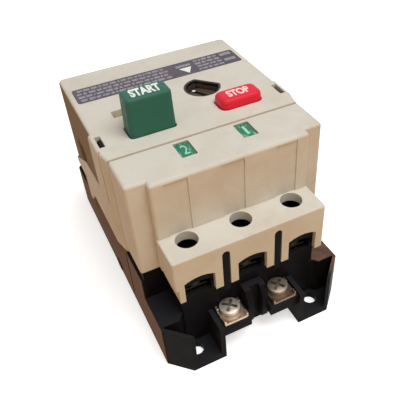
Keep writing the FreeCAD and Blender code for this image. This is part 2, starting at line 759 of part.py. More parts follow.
def snap_way():
    """Right slot of the operating face, over the way for a snap arm, which is open to the inside."""
    slot = block(SNAP_X, SNAP_Y, (CEILING - 1, TOP + 1))
    way = block((SNAP_WAY_INNER, SNAP_X[1]), SNAP_Y, (SKIRT_FOOT - 1, CEILING))
    return slot.fuse(way)


def cover_boss(y, foot):
    boss = rod_z(BOSS_RADIUS, SCREW_X, y, (foot, CEILING + 0.5))
    pilot = rod_z(SCREW_RADIUS, SCREW_X, y, (foot - 1, PILOT_TOP))
    return boss, pilot


def load_cover():
    outline = [
        (-HALF_WIDTH, SEAM - SEAM_GAP / 2),
        (-HALF_WIDTH, COLUMN_FRONT),
        (-PANEL_HALF, COLUMN_FRONT),
        (-PANEL_HALF, PANEL_FRONT),
        (PANEL_HALF, PANEL_FRONT),
        (PANEL_HALF, COLUMN_FRONT),
        (HALF_WIDTH, COLUMN_FRONT),
        (HALF_WIDTH, SEAM - SEAM_GAP / 2),
    ]
    cover = prism_z(outline, (COLUMN_FOOT, TOP))
    corners = []
    for side in (-1, 1):
        corners += [(side * HALF_WIDTH, COLUMN_FRONT), (side * PANEL_HALF, PANEL_FRONT)]
    cover = cover.makeFillet(0.9, upright_edges(cover, corners))
    cover = cover.makeFillet(TOP_ROUND, level_edges(cover, TOP, SEAM - SEAM_GAP / 2))
    side_inner = HALF_WIDTH - PANEL_WALL
    panel_inner = PANEL_HALF - PANEL_WALL
    inside = [
        (-side_inner, SEAM + 1),
        (-side_inner, COLUMN_FRONT + PANEL_WALL),
        (-panel_inner, COLUMN_FRONT + PANEL_WALL),
        (-panel_inner, PANEL_FRONT + PANEL_WALL),
        (panel_inner, PANEL_FRONT + PANEL_WALL),
        (panel_inner, COLUMN_FRONT + PANEL_WALL),
        (side_inner, COLUMN_FRONT + PANEL_WALL),
        (side_inner, SEAM + 1),
    ]
    cover = cover.cut(prism_z(inside, (COLUMN_FOOT - 1, CEILING)))
    hood_ceiling = HOOD_TOP - HOOD_ROOF
    hood_way = block((-panel_inner, panel_inner), (PANEL_FRONT - 1, PANEL_FRONT + 2.5), (0, hood_ceiling))
    boss, pilot = cover_boss(-SCREW_Y, COLUMN_FOOT)
    cover = joined(cover.cut(hood_way), terminal_hood(), *both_sides(boss))
    cuts = both_sides(pilot) + seam_grooves()
    channel_y = (PANEL_FRONT - 1, PANEL_FRONT + CHANNEL_DEPTH)
    half = CHANNEL_WIDTH / 2
    for x in POLES:
        cuts.append(block((x - half, x + half), channel_y, (HOOD_TOP, TOP - TOP_ROUND - 0.1)))
        cuts.append(rod_z(DRIVER_HOLE_RADIUS, x, TERMINAL_Y, (HOOD_TOP - 4, HOOD_TOP + 0.01)))
    for x in (-WINDOW_X, WINDOW_X):
        cuts.append(rounded_prism(x, WINDOW_Y, WINDOW_WIDTH, WINDOW_LENGTH, 0.4, (CEILING - 1, TOP + 1)))
    return cover.cut(cuts)


def dial_hole(inset, z):
    """Round hole with one flat towards the rear right corner, smaller all round by the inset."""
    radius = DIAL_HOLE_RADIUS - inset
    round_part = rod_z(radius, DIAL_X, DIAL_Y, z)
    flat = block((DIAL_FLAT - inset, radius + 2), (-radius - 1, radius + 1), z)
    flat.rotate(Vec(0, 0, 0), Vec(0, 0, 1), DIAL_FLAT_TURN)
    flat.translate(Vec(DIAL_X, DIAL_Y, 0))
    return round_part.cut(flat)


def dial_well():
    """Black lining of the dial's hole, with a flange under the operating face."""
    sleeve = dial_hole(0.1, (57.0, TOP - 0.15))
    flange = rod_z(DIAL_HOLE_RADIUS + 0.9, DIAL_X, DIAL_Y, (59.0, CEILING))
    bore = dial_hole(0.1 + DIAL_WELL_WALL, (58.9, TOP + 1))
    lower_bore = rod_z(DIAL_RADIUS + 0.3, DIAL_X, DIAL_Y, (56, DIAL_TOP + 0.3))
    return joined(sleeve, flange).cut([bore, lower_bore])


def button_guide(x, width, corner):
    """Tube under the operating face in which a button's flange slides, and the hole for its cap."""
    flange_x = width + 2 * FLANGE_RIM + 2 * GUIDE_GAP
    flange_y = BUTTON_DEPTH + 2 * FLANGE_RIM + 2 * GUIDE_GAP
    outer = rounded_prism(
        x, BUTTON_Y, flange_x + 2 * GUIDE_WALL, flange_y + 2 * GUIDE_WALL, 1.5, (GUIDE_FOOT, CEILING + 0.2)
    )
    inner = rounded_prism(x, BUTTON_Y, flange_x, flange_y, 0.4, (GUIDE_FOOT - 1, CEILING))
    inward = 1 if x < ROCKER_X else -1
    edge = x + inward * flange_x / 2
    arm_way = block(
        (min(edge - 1, edge + inward * 4), max(edge + 1, edge + inward * 4)),
        (BUTTON_Y - ROCKER_HALF_Y - 0.6, BUTTON_Y + ROCKER_HALF_Y + 0.6),
        (GUIDE_FOOT - 1, FLANGE_TOP - FLANGE_HEIGHT),
    )
    hole_x = width + 2 * BUTTON_GAP
    hole_y = BUTTON_DEPTH + 2 * BUTTON_GAP
    cap_hole = rounded_prism(x, BUTTON_Y, hole_x, hole_y, corner + BUTTON_GAP, (CEILING - 1, TOP + 1))
    return outer.cut([inner, arm_way]), cap_hole


def rounded_shell(plan, front, z):
    """Prism on a plan that ends with its rear corners; these and all top edges but the front are round."""
    shell = prism_z(plan, z)
    shell = shell.makeFillet(REAR_CORNER_ROUND, upright_edges(shell, plan[-2:]))
    return shell.makeFillet(TOP_ROUND, level_edges(shell, z[1], front))


def flank_plan(half, front):
    """Plan of the housing that widens from the seam to the given half width."""
    return [
        (-half, FLANK_Y[0]),
        (-HALF_WIDTH, front),
        (HALF_WIDTH, front),
        (half, FLANK_Y[0]),
        (half, REAR),
        (-half, REAR),
    ]


def raised_flanks(front):
    """Wider shell, kept only round the snap slots and below a bent line on each flank."""
    shell = rounded_shell(flank_plan(FLANK_HALF, front), front, (SKIRT_FOOT, TOP))
    kept = prism_x(
        [
            (front, TOP + 1),
            (front, SKIRT_FOOT - 1),
            (REAR + 1, SKIRT_FOOT - 1),
            (REAR + 1, FLANK_EDGE_Z[1]),
            FLANK_BEND,
            (FLANK_Y[1], FLANK_EDGE_Z[0]),
            (FLANK_Y[1], TOP + 1),
        ],
        (-FLANK_HALF - 1, FLANK_HALF + 1),
    )
    groove = block((FLANK_GROOVE_X, FLANK_HALF + 1), FLANK_GROOVE_Y, (FLANK_GROOVE_FOOT, TOP + 1))
    return shell.common(kept).cut(both_sides(groove))


def housing():
    """Main cover: operating face, flanks with raised bands, rear wall, button guides and screw bosses."""
    low_y = SEAM + SEAM_GAP / 2
    shell = rounded_shell(flank_plan(REAR_HALF, low_y), low_y, (SKIRT_FOOT, TOP))
    shell = joined(shell, raised_flanks(low_y))
    inner_half = HALF_WIDTH - SIDE_WALL
    inside = block((-inner_half, inner_half), (low_y - 1, REAR - SIDE_WALL), (SKIRT_FOOT - 1, CEILING))
    below = [
        (SEAM, SKIRT_FOOT - 1),
        *skirt_line(0),
        (SKIRT_REAR, COLUMN_FOOT),
        (REAR + 1, COLUMN_FOOT),
        (REAR + 1, SKIRT_FOOT - 1),
    ]
    below_skirt = prism_x(below, (-FLANK_HALF - 1, FLANK_HALF + 1))
    hood_half = HOOD_HALF - HOOD_WALL
    hood_way = block((-hood_half, hood_half), (REAR - 3, REAR + 1), (0, HOOD_TOP - HOOD_ROOF))
    boss, pilot = cover_boss(SCREW_Y, COLUMN_FOOT)
    start_guide, start_hole = button_guide(START_X, START_WIDTH, START_CORNER)
    stop_guide, stop_hole = button_guide(STOP_X, STOP_WIDTH, STOP_CORNER)
    shell = shell.cut([inside, below_skirt, hood_way])
    shell = joined(shell, *both_sides(boss), start_guide, stop_guide)
    cuts = both_sides(pilot) + [start_hole, stop_hole, dial_hole(0, (CEILING - 1, TOP + 1)), *seam_grooves()]
    cuts += both_sides(snap_way()) + both_sides(hood_tongue(0.1))
    cuts.append(block(RECESS_X, RECESS_Y, (TOP - RECESS_DEPTH, TOP + 1)))
    cuts.append(label_plate((TOP - LABEL_SINK, TOP + 1)))
    return shell.cut(cuts)


def label_plate(z):
    """Label strip, or the shallow bed for it."""
    middle = sum(LABEL_Y) / 2
    return rounded_prism(0, middle, 2 * LABEL_HALF, LABEL_Y[1] - LABEL_Y[0], LABEL_CORNER, z)


# Operators

def button_cap(x, width, taper, corner, edge_round, z):
    """Cap with a slight taper and a round top edge."""
    lower = rounded_wire(x, BUTTON_Y, width, BUTTON_DEPTH, corner, z[0])
    upper = rounded_wire(x, BUTTON_Y, width - taper, BUTTON_DEPTH - taper / 2, corner, z[1])
    cap = Part.makeLoft([lower, upper], True, True)
    return cap.makeFillet(edge_round, level_edges(cap, z[1]))


def button_foot(x, width, flange_top, inward):
    """Retaining flange, and a stem with a notch for the rocker's round end."""
    flange_foot = flange_top - FLANGE_HEIGHT
    flange = rounded_prism(
        x, BUTTON_Y, width + 2 * FLANGE_RIM, BUTTON_DEPTH + 2 * FLANGE_RIM, 0.6, (flange_foot, flange_top)
    )
    stem = block(
        (x - STEM_HALF_X, x + STEM_HALF_X),
        (BUTTON_Y - STEM_HALF_Y, BUTTON_Y + STEM_HALF_Y),
        (flange_foot - STEM_LENGTH, flange_foot + 0.1),
    )
    notch_mid = flange_foot - NOTCH_BELOW_FLANGE
    ends = sorted((x - inward * NOTCH_DEPTH, x + inward * (STEM_HALF_X + 1)))
    notch = block(
        tuple(ends),
        (BUTTON_Y - STEM_HALF_Y - 1, BUTTON_Y + STEM_HALF_Y + 1),
        (notch_mid - NOTCH_HEIGHT / 2, notch_mid + NOTCH_HEIGHT / 2),
    )
    relief_ends = sorted((x + inward * STEM_HALF_X, x + inward * (width / 2 + FLANGE_RIM + 1)))
    relief = block(
        tuple(relief_ends),
        (BUTTON_Y - STEM_HALF_Y, BUTTON_Y + STEM_HALF_Y),
        (flange_foot - 1, flange_foot + 0.75 * FLANGE_HEIGHT),
    )
    return joined(flange, stem).cut([notch, relief])


def start_button():
    z = (FLANGE_TOP - 0.5, START_TOP)
    cap = button_cap(START_X, START_WIDTH, START_TAPER, START_CORNER, START_ROUND, z)
    return joined(cap, button_foot(START_X, START_WIDTH, FLANGE_TOP, 1))


def stop_button():
    """Modelled pushed in, as it stands while the start button is out."""
    flange_top = FLANGE_TOP - BUTTON_TRAVEL
    z = (flange_top - 0.5, STOP_TOP)
    cap = button_cap(STOP_X, STOP_WIDTH, STOP_TAPER, STOP_CORNER, STOP_ROUND, z)
    return joined(cap, button_foot(STOP_X, STOP_WIDTH, flange_top, -1))


def rocker():
    """Two-armed lever between the buttons, modelled level and then tipped to its rest angle."""
    y = (BUTTON_Y - ROCKER_HALF_Y, BUTTON_Y + ROCKER_HALF_Y)
    hub = rod_y(3.0, ROCKER_X, y, ROCKER_Z)
    neck = ROCKER_ARM - 2.6
    arms = prism_y(
        [
            (ROCKER_X - ROCKER_ARM, ROCKER_Z - 0.6),
            (ROCKER_X - neck, ROCKER_Z - 0.6),
            (ROCKER_X, ROCKER_Z - 2.2),
            (ROCKER_X + neck, ROCKER_Z - 0.6),
            (ROCKER_X + ROCKER_ARM, ROCKER_Z - 0.6),
            (ROCKER_X + ROCKER_ARM, ROCKER_Z + 0.6),
            (ROCKER_X + neck, ROCKER_Z + 0.6),
            (ROCKER_X, ROCKER_Z + 2.2),
            (ROCKER_X - neck, ROCKER_Z + 0.6),
            (ROCKER_X - ROCKER_ARM, ROCKER_Z + 0.6),
        ],
        y,
    )
    ends = [rod_y(1.5, ROCKER_X + side * ROCKER_ARM, y, ROCKER_Z) for side in (-1, 1)]
    bore = rod_y(ROCKER_PIN_RADIUS + RUNNING_GAP, ROCKER_X, (y[0] - 1, y[1] + 1), ROCKER_Z)
    lever = joined(hub, arms, *ends).cut(bore)
    lever.rotate(Vec(ROCKER_X, 0, ROCKER_Z), Vec(0, 1, 0), ROCKER_TILT)
    return lever


def rocker_pin():
    reach = ROCKER_HALF_Y + CHEEK_GAP + SHEET + 0.5
    return rod_y(ROCKER_PIN_RADIUS, ROCKER_X, (BUTTON_Y - reach, BUTTON_Y + reach), ROCKER_Z)


def mechanism_frame():
    """Folded sheet frame on the barriers: plate, rocker cheeks, latch ears and the dial's bearing tab."""
    plate = block(FRAME_PLATE_X, FRAME_PLATE_Y, (FRAME_Z, FRAME_Z + SHEET))
    dial_tab = joined(
        block((DIAL_X - DIAL_TAB_HALF, DIAL_X + DIAL_TAB_HALF), (-5, DIAL_Y), (FRAME_Z, FRAME_Z + SHEET)),
        rod_z(DIAL_TAB_HALF, DIAL_X, DIAL_Y, (FRAME_Z, FRAME_Z + SHEET)),
    )
    cheeks = []
    near = BUTTON_Y - ROCKER_HALF_Y - CHEEK_GAP
    far = BUTTON_Y + ROCKER_HALF_Y + CHEEK_GAP
    for y in ((near - SHEET, near), (far, far + SHEET)):
        cheeks.append(block((ROCKER_X - CHEEK_HALF, ROCKER_X + CHEEK_HALF), y, (FRAME_Z, ROCKER_Z)))
        cheeks.append(rod_y(CHEEK_HALF, ROCKER_X, y, ROCKER_Z))
    ears = []
    for x in ((LATCH_X[0] - 0.2 - SHEET, LATCH_X[0] - 0.2), (LATCH_X[1] + 0.2, LATCH_X[1] + 0.2 + SHEET)):
        ear = [
            (LATCH_Y - EAR_HALF, LATCH_Z),
            (LATCH_Y - 1, FRAME_Z),
            (FRAME_PLATE_Y[0] + 0.2, FRAME_Z),
            (LATCH_Y + EAR_HALF, LATCH_Z),
        ]
        ears.append(prism_x(ear, x))
        ears.append(rod_x(EAR_HALF, x, LATCH_Y, LATCH_Z))
    post_way = block(POST_WAY_X, POST_WAY_Y, (FRAME_Z - 1, FRAME_Z + SHEET + 0.01))
    pin_ways = [
        rod_y(ROCKER_PIN_RADIUS, ROCKER_X, (-20, 5), ROCKER_Z),
        rod_x(LATCH_PIN_RADIUS, (5, 20), LATCH_Y, LATCH_Z),
        rod_z(DIAL_SHAFT_RADIUS + RUNNING_GAP, DIAL_X, DIAL_Y, (FRAME_Z - 1, FRAME_Z + 3)),
    ]
    return joined(plate, dial_tab, *cheeks, *ears).cut([post_way] + pin_ways)


def adjusting_dial():
    """Disc with a driver slot, a shaft through the frame's tab, and the setting cam at its foot."""
    disc = turned(
        [
            (0, DIAL_TOP - DIAL_THICKNESS),
            (DIAL_RADIUS, DIAL_TOP - DIAL_THICKNESS),
            (DIAL_RADIUS, DIAL_TOP - 0.6),
            (DIAL_RADIUS - 0.6, DIAL_TOP),
            (0, DIAL_TOP),
        ],
        DIAL_X,
        DIAL_Y,
    )
    slot_x = (DIAL_X - DIAL_SLOT_HALF, DIAL_X + DIAL_SLOT_HALF)
    slot = block(slot_x, (DIAL_Y - 4, DIAL_Y + 4), (DIAL_TOP - 1.2, DIAL_TOP + 1))
    slot.rotate(Vec(DIAL_X, DIAL_Y, 0), Vec(0, 0, 1), DIAL_SLOT_TURN)
    shaft = rod_z(DIAL_SHAFT_RADIUS, DIAL_X, DIAL_Y, (DIAL_SHAFT_FOOT, DIAL_TOP - 2))
    collar = rod_z(3.2, DIAL_X, DIAL_Y, (FRAME_Z + SHEET + 0.2, FRAME_Z + SHEET + 1.8))
    cam = rod_z(CAM_RADIUS, DIAL_X, DIAL_Y - CAM_OFFSET, (DIAL_SHAFT_FOOT, CAM_TOP))
    return joined(disc.cut(slot), shaft, collar, cam)


# Contacts

def contact_carrier():
    """Crossbar with a window for each bridge and an arm that ends under the rocker."""
    y = (CONTACT_Y - 2, CONTACT_Y + 2)
    bar = block((-CARRIER_HALF, CARRIER_HALF), y, (CARRIER_Z, CARRIER_Z + CARRIER_BAR))
    frames = []
    for x in POLES:
        stirrup = block((x - 5.2, x + 5.2), y, (BRIDGE_Z - 1.4, CARRIER_Z + 0.5))
        frames.append(stirrup.cut(block((x - 4, x + 4), (y[0] - 1, y[1] + 1), (BRIDGE_Z, CARRIER_Z))))
    post_y = (BUTTON_Y - 2, BUTTON_Y + 2)
    pad_radius = (CARRIER_ARM_X[1] - CARRIER_ARM_X[0]) / 2
    pad_z = CARRIER_PAD_TOP - pad_radius
    arm = block(CARRIER_ARM_X, (post_y[0], y[0] + 1), (CARRIER_Z, CARRIER_Z + CARRIER_BAR - 0.5))
    post = block(CARRIER_ARM_X, post_y, (CARRIER_Z, pad_z))
    pad = rod_y(pad_radius, sum(CARRIER_ARM_X) / 2, post_y, pad_z)
    pin = rod_z(SPRING_PIN_RADIUS, OPENING_SPRING_X, CONTACT_Y, (CARRIER_Z - 2, CARRIER_Z + 1))
    return joined(bar, arm, post, pad, *frames, *both_sides(pin))


def moving_bridge(x):
    z = (BRIDGE_Z, BRIDGE_Z + BRIDGE_THICKNESS)
    strip = rounded_prism(x, CONTACT_Y, BRIDGE_WIDTH, BRIDGE_LENGTH, 1.5, z)
    tip_z = (BRIDGE_Z - TIP_THICKNESS, BRIDGE_Z + 0.1)
    tips = [rod_z(TIP_RADIUS, x, CONTACT_Y + side * CONTACT_SPAN, tip_z) for side in (-1, 1)]
    return joined(strip, *tips)


def line_terminal_bar(x):
    """Strip from the line terminal, cranked down to the fixed contact tip."""
    y_tip = CONTACT_Y + CONTACT_SPAN
    strip = prism_x(
        [
            (BAR_END, BED),
            (BAR_END, BED + STRIP),
            (BAR_CRANK_Y, BED + STRIP),
            (BAR_CRANK_Y, FIXED_TOP),
            (y_tip - BAR_TIP_REACH, FIXED_TOP),
            (y_tip - BAR_TIP_REACH, FIXED_TOP - STRIP),
            (BAR_CRANK_Y + STRIP, FIXED_TOP - STRIP),
            (BAR_CRANK_Y + STRIP, BED),
        ],
        (x - 4, x + 4),
    )
    tip = rod_z(TIP_RADIUS, x, y_tip, (FIXED_TOP - 0.1, FIXED_TOP + TIP_THICKNESS))
    return joined(strip, tip).cut(rod_z(MAIN_CLEAR_RADIUS, x, -TERMINAL_Y, (BED - 1, BED + 3)))


def load_contact_bar(x):
    """Strip from the coil to the load-side fixed contact tip."""
    y_tip = CONTACT_Y - CONTACT_SPAN
    strip = prism_x(
        [
            (y_tip + BAR_TIP_REACH, FIXED_TOP),
            (y_tip + BAR_TIP_REACH, FIXED_TOP - STRIP),
            (-2.5, FIXED_TOP - STRIP),
            (-2.5, FLOOR),
            (-4.0, FLOOR),
            (-4.0, FIXED_TOP),
        ],
        (x - 4, x + 4),
    )
    return joined(strip, rod_z(TIP_RADIUS, x, y_tip, (FIXED_TOP - 0.1, FIXED_TOP + TIP_THICKNESS)))


def load_terminal_bar(x):
    """Strip from the load terminal down to the foot that carries the bimetal."""
    strip = prism_x(
        [
            (-BAR_END, BED),
            (LOAD_PAD_Y[0], BED),
            (LOAD_PAD_Y[0], BIMETAL_FOOT - STRIP),
            (LOAD_PAD_Y[1], BIMETAL_FOOT - STRIP),
            (LOAD_PAD_Y[1], BIMETAL_FOOT),
            (LOAD_PAD_Y[0] + STRIP, BIMETAL_FOOT),
            (LOAD_PAD_Y[0] + STRIP, BED + STRIP),
            (-BAR_END, BED + STRIP),
        ],
        (x - 3.5, x + 3.5),
    )
    return strip.cut(rod_z(MAIN_CLEAR_RADIUS, x, TERMINAL_Y, (BED - 1, BED + 3)))


def clamp_plate(x, y):
    """Pressed saddle washer under a main terminal screw."""
    seat = BED + STRIP
    plate = prism_y(
        [
            (x - CLAMP_HALF_X, seat),
            (x - CLAMP_HALF_X + 0.7, seat),
            (x - CLAMP_HALF_X + 1.3, seat + 0.6),
            (x + CLAMP_HALF_X - 1.3, seat + 0.6),
            (x + CLAMP_HALF_X - 0.7, seat),
            (x + CLAMP_HALF_X, seat),
            (x + CLAMP_HALF_X, seat + CLAMP_HEIGHT / 2),
            (x + CLAMP_HALF_X - 0.6, seat + CLAMP_HEIGHT),
            (x - CLAMP_HALF_X + 0.6, seat + CLAMP_HEIGHT),
            (x - CLAMP_HALF_X, seat + CLAMP_HEIGHT / 2),
        ],
        (y - CLAMP_HALF_Y, y + CLAMP_HALF_Y),
    )
    return plate.cut(rod_z(MAIN_CLEAR_RADIUS, x, y, (seat - 1, seat + 3)))


def aux_clamp_plate(x):
    """Square washer with four turned-up lugs under an auxiliary terminal screw."""
    seat = AUX_SHELF_TOP
    lug_top = seat + AUX_LUG_RISE
    edge = AUX_PLATE_HALF
    plate = prism_y(
        [
            (x - edge, lug_top),
            (x - edge, seat + 0.5),
            (x - edge + 0.45, seat),
            (x + edge - 0.45, seat),
            (x + edge, seat + 0.5),
            (x + edge, lug_top),
            (x + edge - 0.65, lug_top),
            (x + edge - 0.75, seat + AUX_PLATE),
            (x - edge + 0.75, seat + AUX_PLATE),
            (x - edge + 0.65, lug_top),
        ],
        AUX_PLATE_Y,
    )
    between = (AUX_PLATE_Y[0] + AUX_LUG_LENGTH, AUX_PLATE_Y[1] - AUX_LUG_LENGTH)
    lug_gap = block((x - edge - 1, x + edge + 1), between, (seat + AUX_PLATE, lug_top + 1))
    return plate.cut([lug_gap, rod_z(AUX_CLEAR_RADIUS, x, AUX_Y, (seat - 1, seat + 3))])


def arc_plate_stack(x):
    """Splitter plates with a vee notch towards the contacts."""
    front, notch = 19.5, 24.5
    outline = [
        (x - ARC_HALF, front),
        (x - 1.5, front),
        (x, notch),
        (x + 1.5, front),
        (x + ARC_HALF, front),
        (x + ARC_HALF, ARC_BACK),
        (x - ARC_HALF, ARC_BACK),
    ]
    feet = [ARC_FOOT + ARC_PLATE + ARC_PITCH * level for level in range(ARC_PLATES)]
    return [prism_z(outline, (z, z + ARC_PLATE)) for z in feet]


def arc_plate_holder(x):
    """U-shaped holder outside the splitter plates, open towards the contacts."""
    outer = rounded_prism(x, 25.2, 12.0, 11.2, 1.0, (ARC_FOOT, ARC_TOP))
    inner = block((x - ARC_HALF, x + ARC_HALF), (18, ARC_BACK), (ARC_FOOT - 1, ARC_TOP + 1))
    return outer.cut(inner)


# Trip unit

def bimetal(x):
    return rounded_prism(x, BIMETAL_Y, 6.0, 1.0, 0.3, (BIMETAL_FOOT, BIMETAL_TOP))


def heater_ribbon(x):
    """Flat resistance ribbon wound round the bimetal, its turns tied on one side."""
    turns = []
    for turn in range(HEATER_TURNS):
        foot = HEATER_FOOT + HEATER_PITCH * turn
        z = (foot, foot + HEATER_WIDTH)
        outer = rounded_prism(x, BIMETAL_Y, 8.4, 3.6, 0.8, z)
        turns.append(outer.cut(rounded_prism(x, BIMETAL_Y, 7.2, 2.4, 0.5, (z[0] - 1, z[1] + 1))))
    tie_y = (BIMETAL_Y - 0.8, BIMETAL_Y + 0.8)
    tie = block((x + 3.6, x + 4.2), tie_y, (HEATER_FOOT, HEATER_FOOT + HEATER_PITCH * HEATER_TURNS - 1.4))
    return joined(tie, *turns)


def trip_bar():
    """Comb that the bimetals push, with a long arm that ends at the dial's cam."""
    bar = block((-TRIP_BAR_HALF, TRIP_BAR_HALF), TRIP_BAR_Y, TRIP_BAR_Z)
    finger_y = (TRIP_BAR_Y[0] - 1.3, TRIP_BAR_Y[0] + 0.5)
    fingers = [block((x - 2.5, x + 2.5), finger_y, TRIP_FINGER_Z) for x in POLES]
    root = block(TRIP_ARM_X, TRIP_BAR_Y, (TRIP_ARM_Z[0], TRIP_BAR_Z[0] + 0.5))
    arm = block(TRIP_ARM_X, (TRIP_BAR_Y[0], TRIP_ARM_END), TRIP_ARM_Z)
    return joined(bar, root, arm, *fingers)


def latch_lever():
    x = LATCH_X
    hub = rod_x(2.2, x, LATCH_Y, LATCH_Z)
    tip = TRIP_BAR_Y[1] + 0.3
    lower = prism_x(
        [
            (LATCH_Y - 1.8, LATCH_Z),
            (tip + 0.4, 39.6),
            (tip, 38.7),
            (tip, TRIP_FINGER_Z[0]),
            (tip + 1.4, TRIP_FINGER_Z[0]),
            (LATCH_Y + 1.5, LATCH_Z),
        ],
        x,
    )
    upper = prism_x(
        [
            (LATCH_Y - 1.4, LATCH_Z),
            (LATCH_Y + 1.4, LATCH_Z),
            (LATCH_Y + 0.3, LATCH_TOP - 1.8),
            (LATCH_Y + 1.3, LATCH_TOP - 1.4),
            (LATCH_Y + 1.3, LATCH_TOP),
            (LATCH_Y - 0.8, LATCH_TOP),
        ],
        x,
    )
    bore = rod_x(LATCH_PIN_RADIUS + RUNNING_GAP, (x[0] - 1, x[1] + 1), LATCH_Y, LATCH_Z)
    return joined(hub, lower, upper).cut(bore)


def coil_bobbin(x):
    return turned(
        [
            (PLUNGER_RADIUS + 0.08, COIL_FOOT),
            (COIL_FLANGE_RADIUS, COIL_FOOT),
            (COIL_FLANGE_RADIUS, COIL_FOOT + 1),
            (COIL_CORE_RADIUS, COIL_FOOT + 1),
            (COIL_CORE_RADIUS, COIL_TOP - 1),
            (COIL_FLANGE_RADIUS, COIL_TOP - 1),
            (COIL_FLANGE_RADIUS, COIL_TOP),
            (PLUNGER_RADIUS + 0.08, COIL_TOP),
        ],
        x,
        COIL_Y,
    )


def coil_winding(x):
    """Heavy winding on the bobbin: one round crest for each turn."""
    turns = 6
    pitch = (COIL_TOP - COIL_FOOT - 2) / turns
    profile = [(COIL_CORE_RADIUS, COIL_TOP - 1), (COIL_CORE_RADIUS, COIL_FOOT + 1)]
    for turn in range(turns):
        z = COIL_FOOT + 1 + pitch * turn
        profile += [(4.6, z), (5.6, z + pitch / 2)]
    profile.append((4.6, COIL_TOP - 1))
    return turned(profile, x, COIL_Y)


def coil_yoke(x):
    """Steel strap under, behind and over the coil."""
    strap = prism_x(
        [
            (YOKE_Y[1], FLOOR),
            (YOKE_Y[0], FLOOR),
            (YOKE_Y[0], COIL_TOP + YOKE),
            (YOKE_Y[1], COIL_TOP + YOKE),
            (YOKE_Y[1], COIL_TOP),
            (YOKE_Y[0] + YOKE, COIL_TOP),
            (YOKE_Y[0] + YOKE, COIL_FOOT),
            (YOKE_Y[1], COIL_FOOT),
        ],
        (x - 5, x + 5),
    )
    return strap.cut(rod_z(PLUNGER_RADIUS + 0.6, x, COIL_Y, (COIL_TOP - 1, COIL_TOP + 2)))


def plunger(x):
    return turned(
        [
            (0, COIL_FOOT + 0.3),
            (PLUNGER_RADIUS, COIL_FOOT + 0.3),
            (PLUNGER_RADIUS, COIL_TOP + 1.5),
            (PLUNGER_PIN_RADIUS, COIL_TOP + 2.0),
            (PLUNGER_PIN_RADIUS, COIL_TOP + 5.0),
            (PLUNGER_PIN_RADIUS - 0.4, COIL_TOP + 5.4),
            (0, COIL_TOP + 5.4),
        ],
        x,
        COIL_Y,
    )


# Auxiliary contacts

def aux_block():
    """Right auxiliary contact block, with the tab that shows in the cover's window."""
    body = rounded_prism(WINDOW_X, AUX_BLOCK_Y, AUX_BLOCK_WIDTH, AUX_BLOCK_DEPTH, 0.6, AUX_BLOCK_Z)
    tab_x = WINDOW_WIDTH - 0.4
    tab_y = WINDOW_LENGTH - 0.4
    tab = rounded_prism(WINDOW_X, WINDOW_Y, tab_x, tab_y, 0.3, (AUX_BLOCK_Z[1] - 0.4, WINDOW_TAB_TOP))
    grooves = [block((3, 17), (-34, -33.0), (z, z + 2)) for z in (46, 51, 56)]
    return joined(body, tab).cut(grooves + [aux_conductor(0.05)])


def housing_screw(x, y):
    head_foot = 1.2
    profile = [
        (0, head_foot),
        (SCREW_HEAD_RADIUS, head_foot),
        (SCREW_HEAD_RADIUS, SCREW_SEAT),
        (SCREW_RADIUS, SCREW_SEAT),
        (SCREW_RADIUS, SCREW_TIP - 1.3),
        (0.4, SCREW_TIP),
        (0, SCREW_TIP),
    ]
    return turned(profile, x, y).cut(cross_recess(x, y, head_foot, 3.4, 0.8, -0.9))


save("base", base())
save("snap_arms", *both_sides(snap_arm()))
save("load_terminal_block", load_terminal_block())
save("line_terminal_block", mirrored_y(terminal_chambers()))
save("pole_barriers", *both_sides(pole_barrier()))
save("load_cover", load_cover())
save("housing", housing())
save("line_hood", line_hood())
save("dial_well", dial_well())
save("label_strip", label_plate((TOP - LABEL_SINK, TOP + 0.05)))
save("start_button", start_button())
save("stop_button", stop_button())
save("rocker", rocker())
save("rocker_pin", rocker_pin())
save("mechanism_frame", mechanism_frame())
save("adjusting_dial", adjusting_dial())
save("contact_carrier", contact_carrier())
save("moving_bridges", *[moving_bridge(x) for x in POLES])
bridge_top = BRIDGE_Z + BRIDGE_THICKNESS
save("contact_springs", *[coil_spring(x, CONTACT_Y, (bridge_top, CARRIER_Z), 2.0, 0.35, 3) for x in POLES])
spring_span = (OPENING_SPRING_FOOT + 0.1, CARRIER_Z - 0.2)
opening_spring = coil_spring(OPENING_SPRING_X, CONTACT_Y, spring_span, 2.2, 0.4, 5)
save("opening_springs", *both_sides(opening_spring))
save("line_terminal_bars", *[line_terminal_bar(x) for x in POLES])
save("load_contact_bars", *[load_contact_bar(x) for x in POLES])
save("load_terminal_bars", *[load_terminal_bar(x) for x in POLES])
save("load_clamp_plates", *[clamp_plate(x, TERMINAL_Y) for x in POLES])
save("line_clamp_plates", *[clamp_plate(x, -TERMINAL_Y) for x in POLES])
save("load_terminal_screws", *[terminal_screw(x, TERMINAL_Y) for x in POLES])
save("line_terminal_screws", *[terminal_screw(x, -TERMINAL_Y) for x in POLES])
save("aux_terminal_screws", *both_sides(aux_terminal_screw(BARRIER_X, AUX_Y)))
save("aux_clamp_plates", *[aux_clamp_plate(x) for x in (-BARRIER_X, BARRIER_X)])
aux_screw_way = rod_z(AUX_CLEAR_RADIUS, BARRIER_X, AUX_Y, (AUX_SHELF_FOOT, AUX_SHELF_TOP + 1))
save("aux_conductors", *both_sides(aux_conductor().cut(aux_screw_way)))
save("aux_block_right", aux_block())
save("aux_block_left", mirrored_x(aux_block()))
save("arc_plates", *[plate for x in POLES for plate in arc_plate_stack(x)])
save("arc_plate_holders", *[arc_plate_holder(x) for x in POLES])
save("bimetals", *[bimetal(x) for x in POLES])
save("heater_ribbons", *[heater_ribbon(x) for x in POLES])
save("trip_bar", trip_bar())
save("latch_lever", latch_lever())
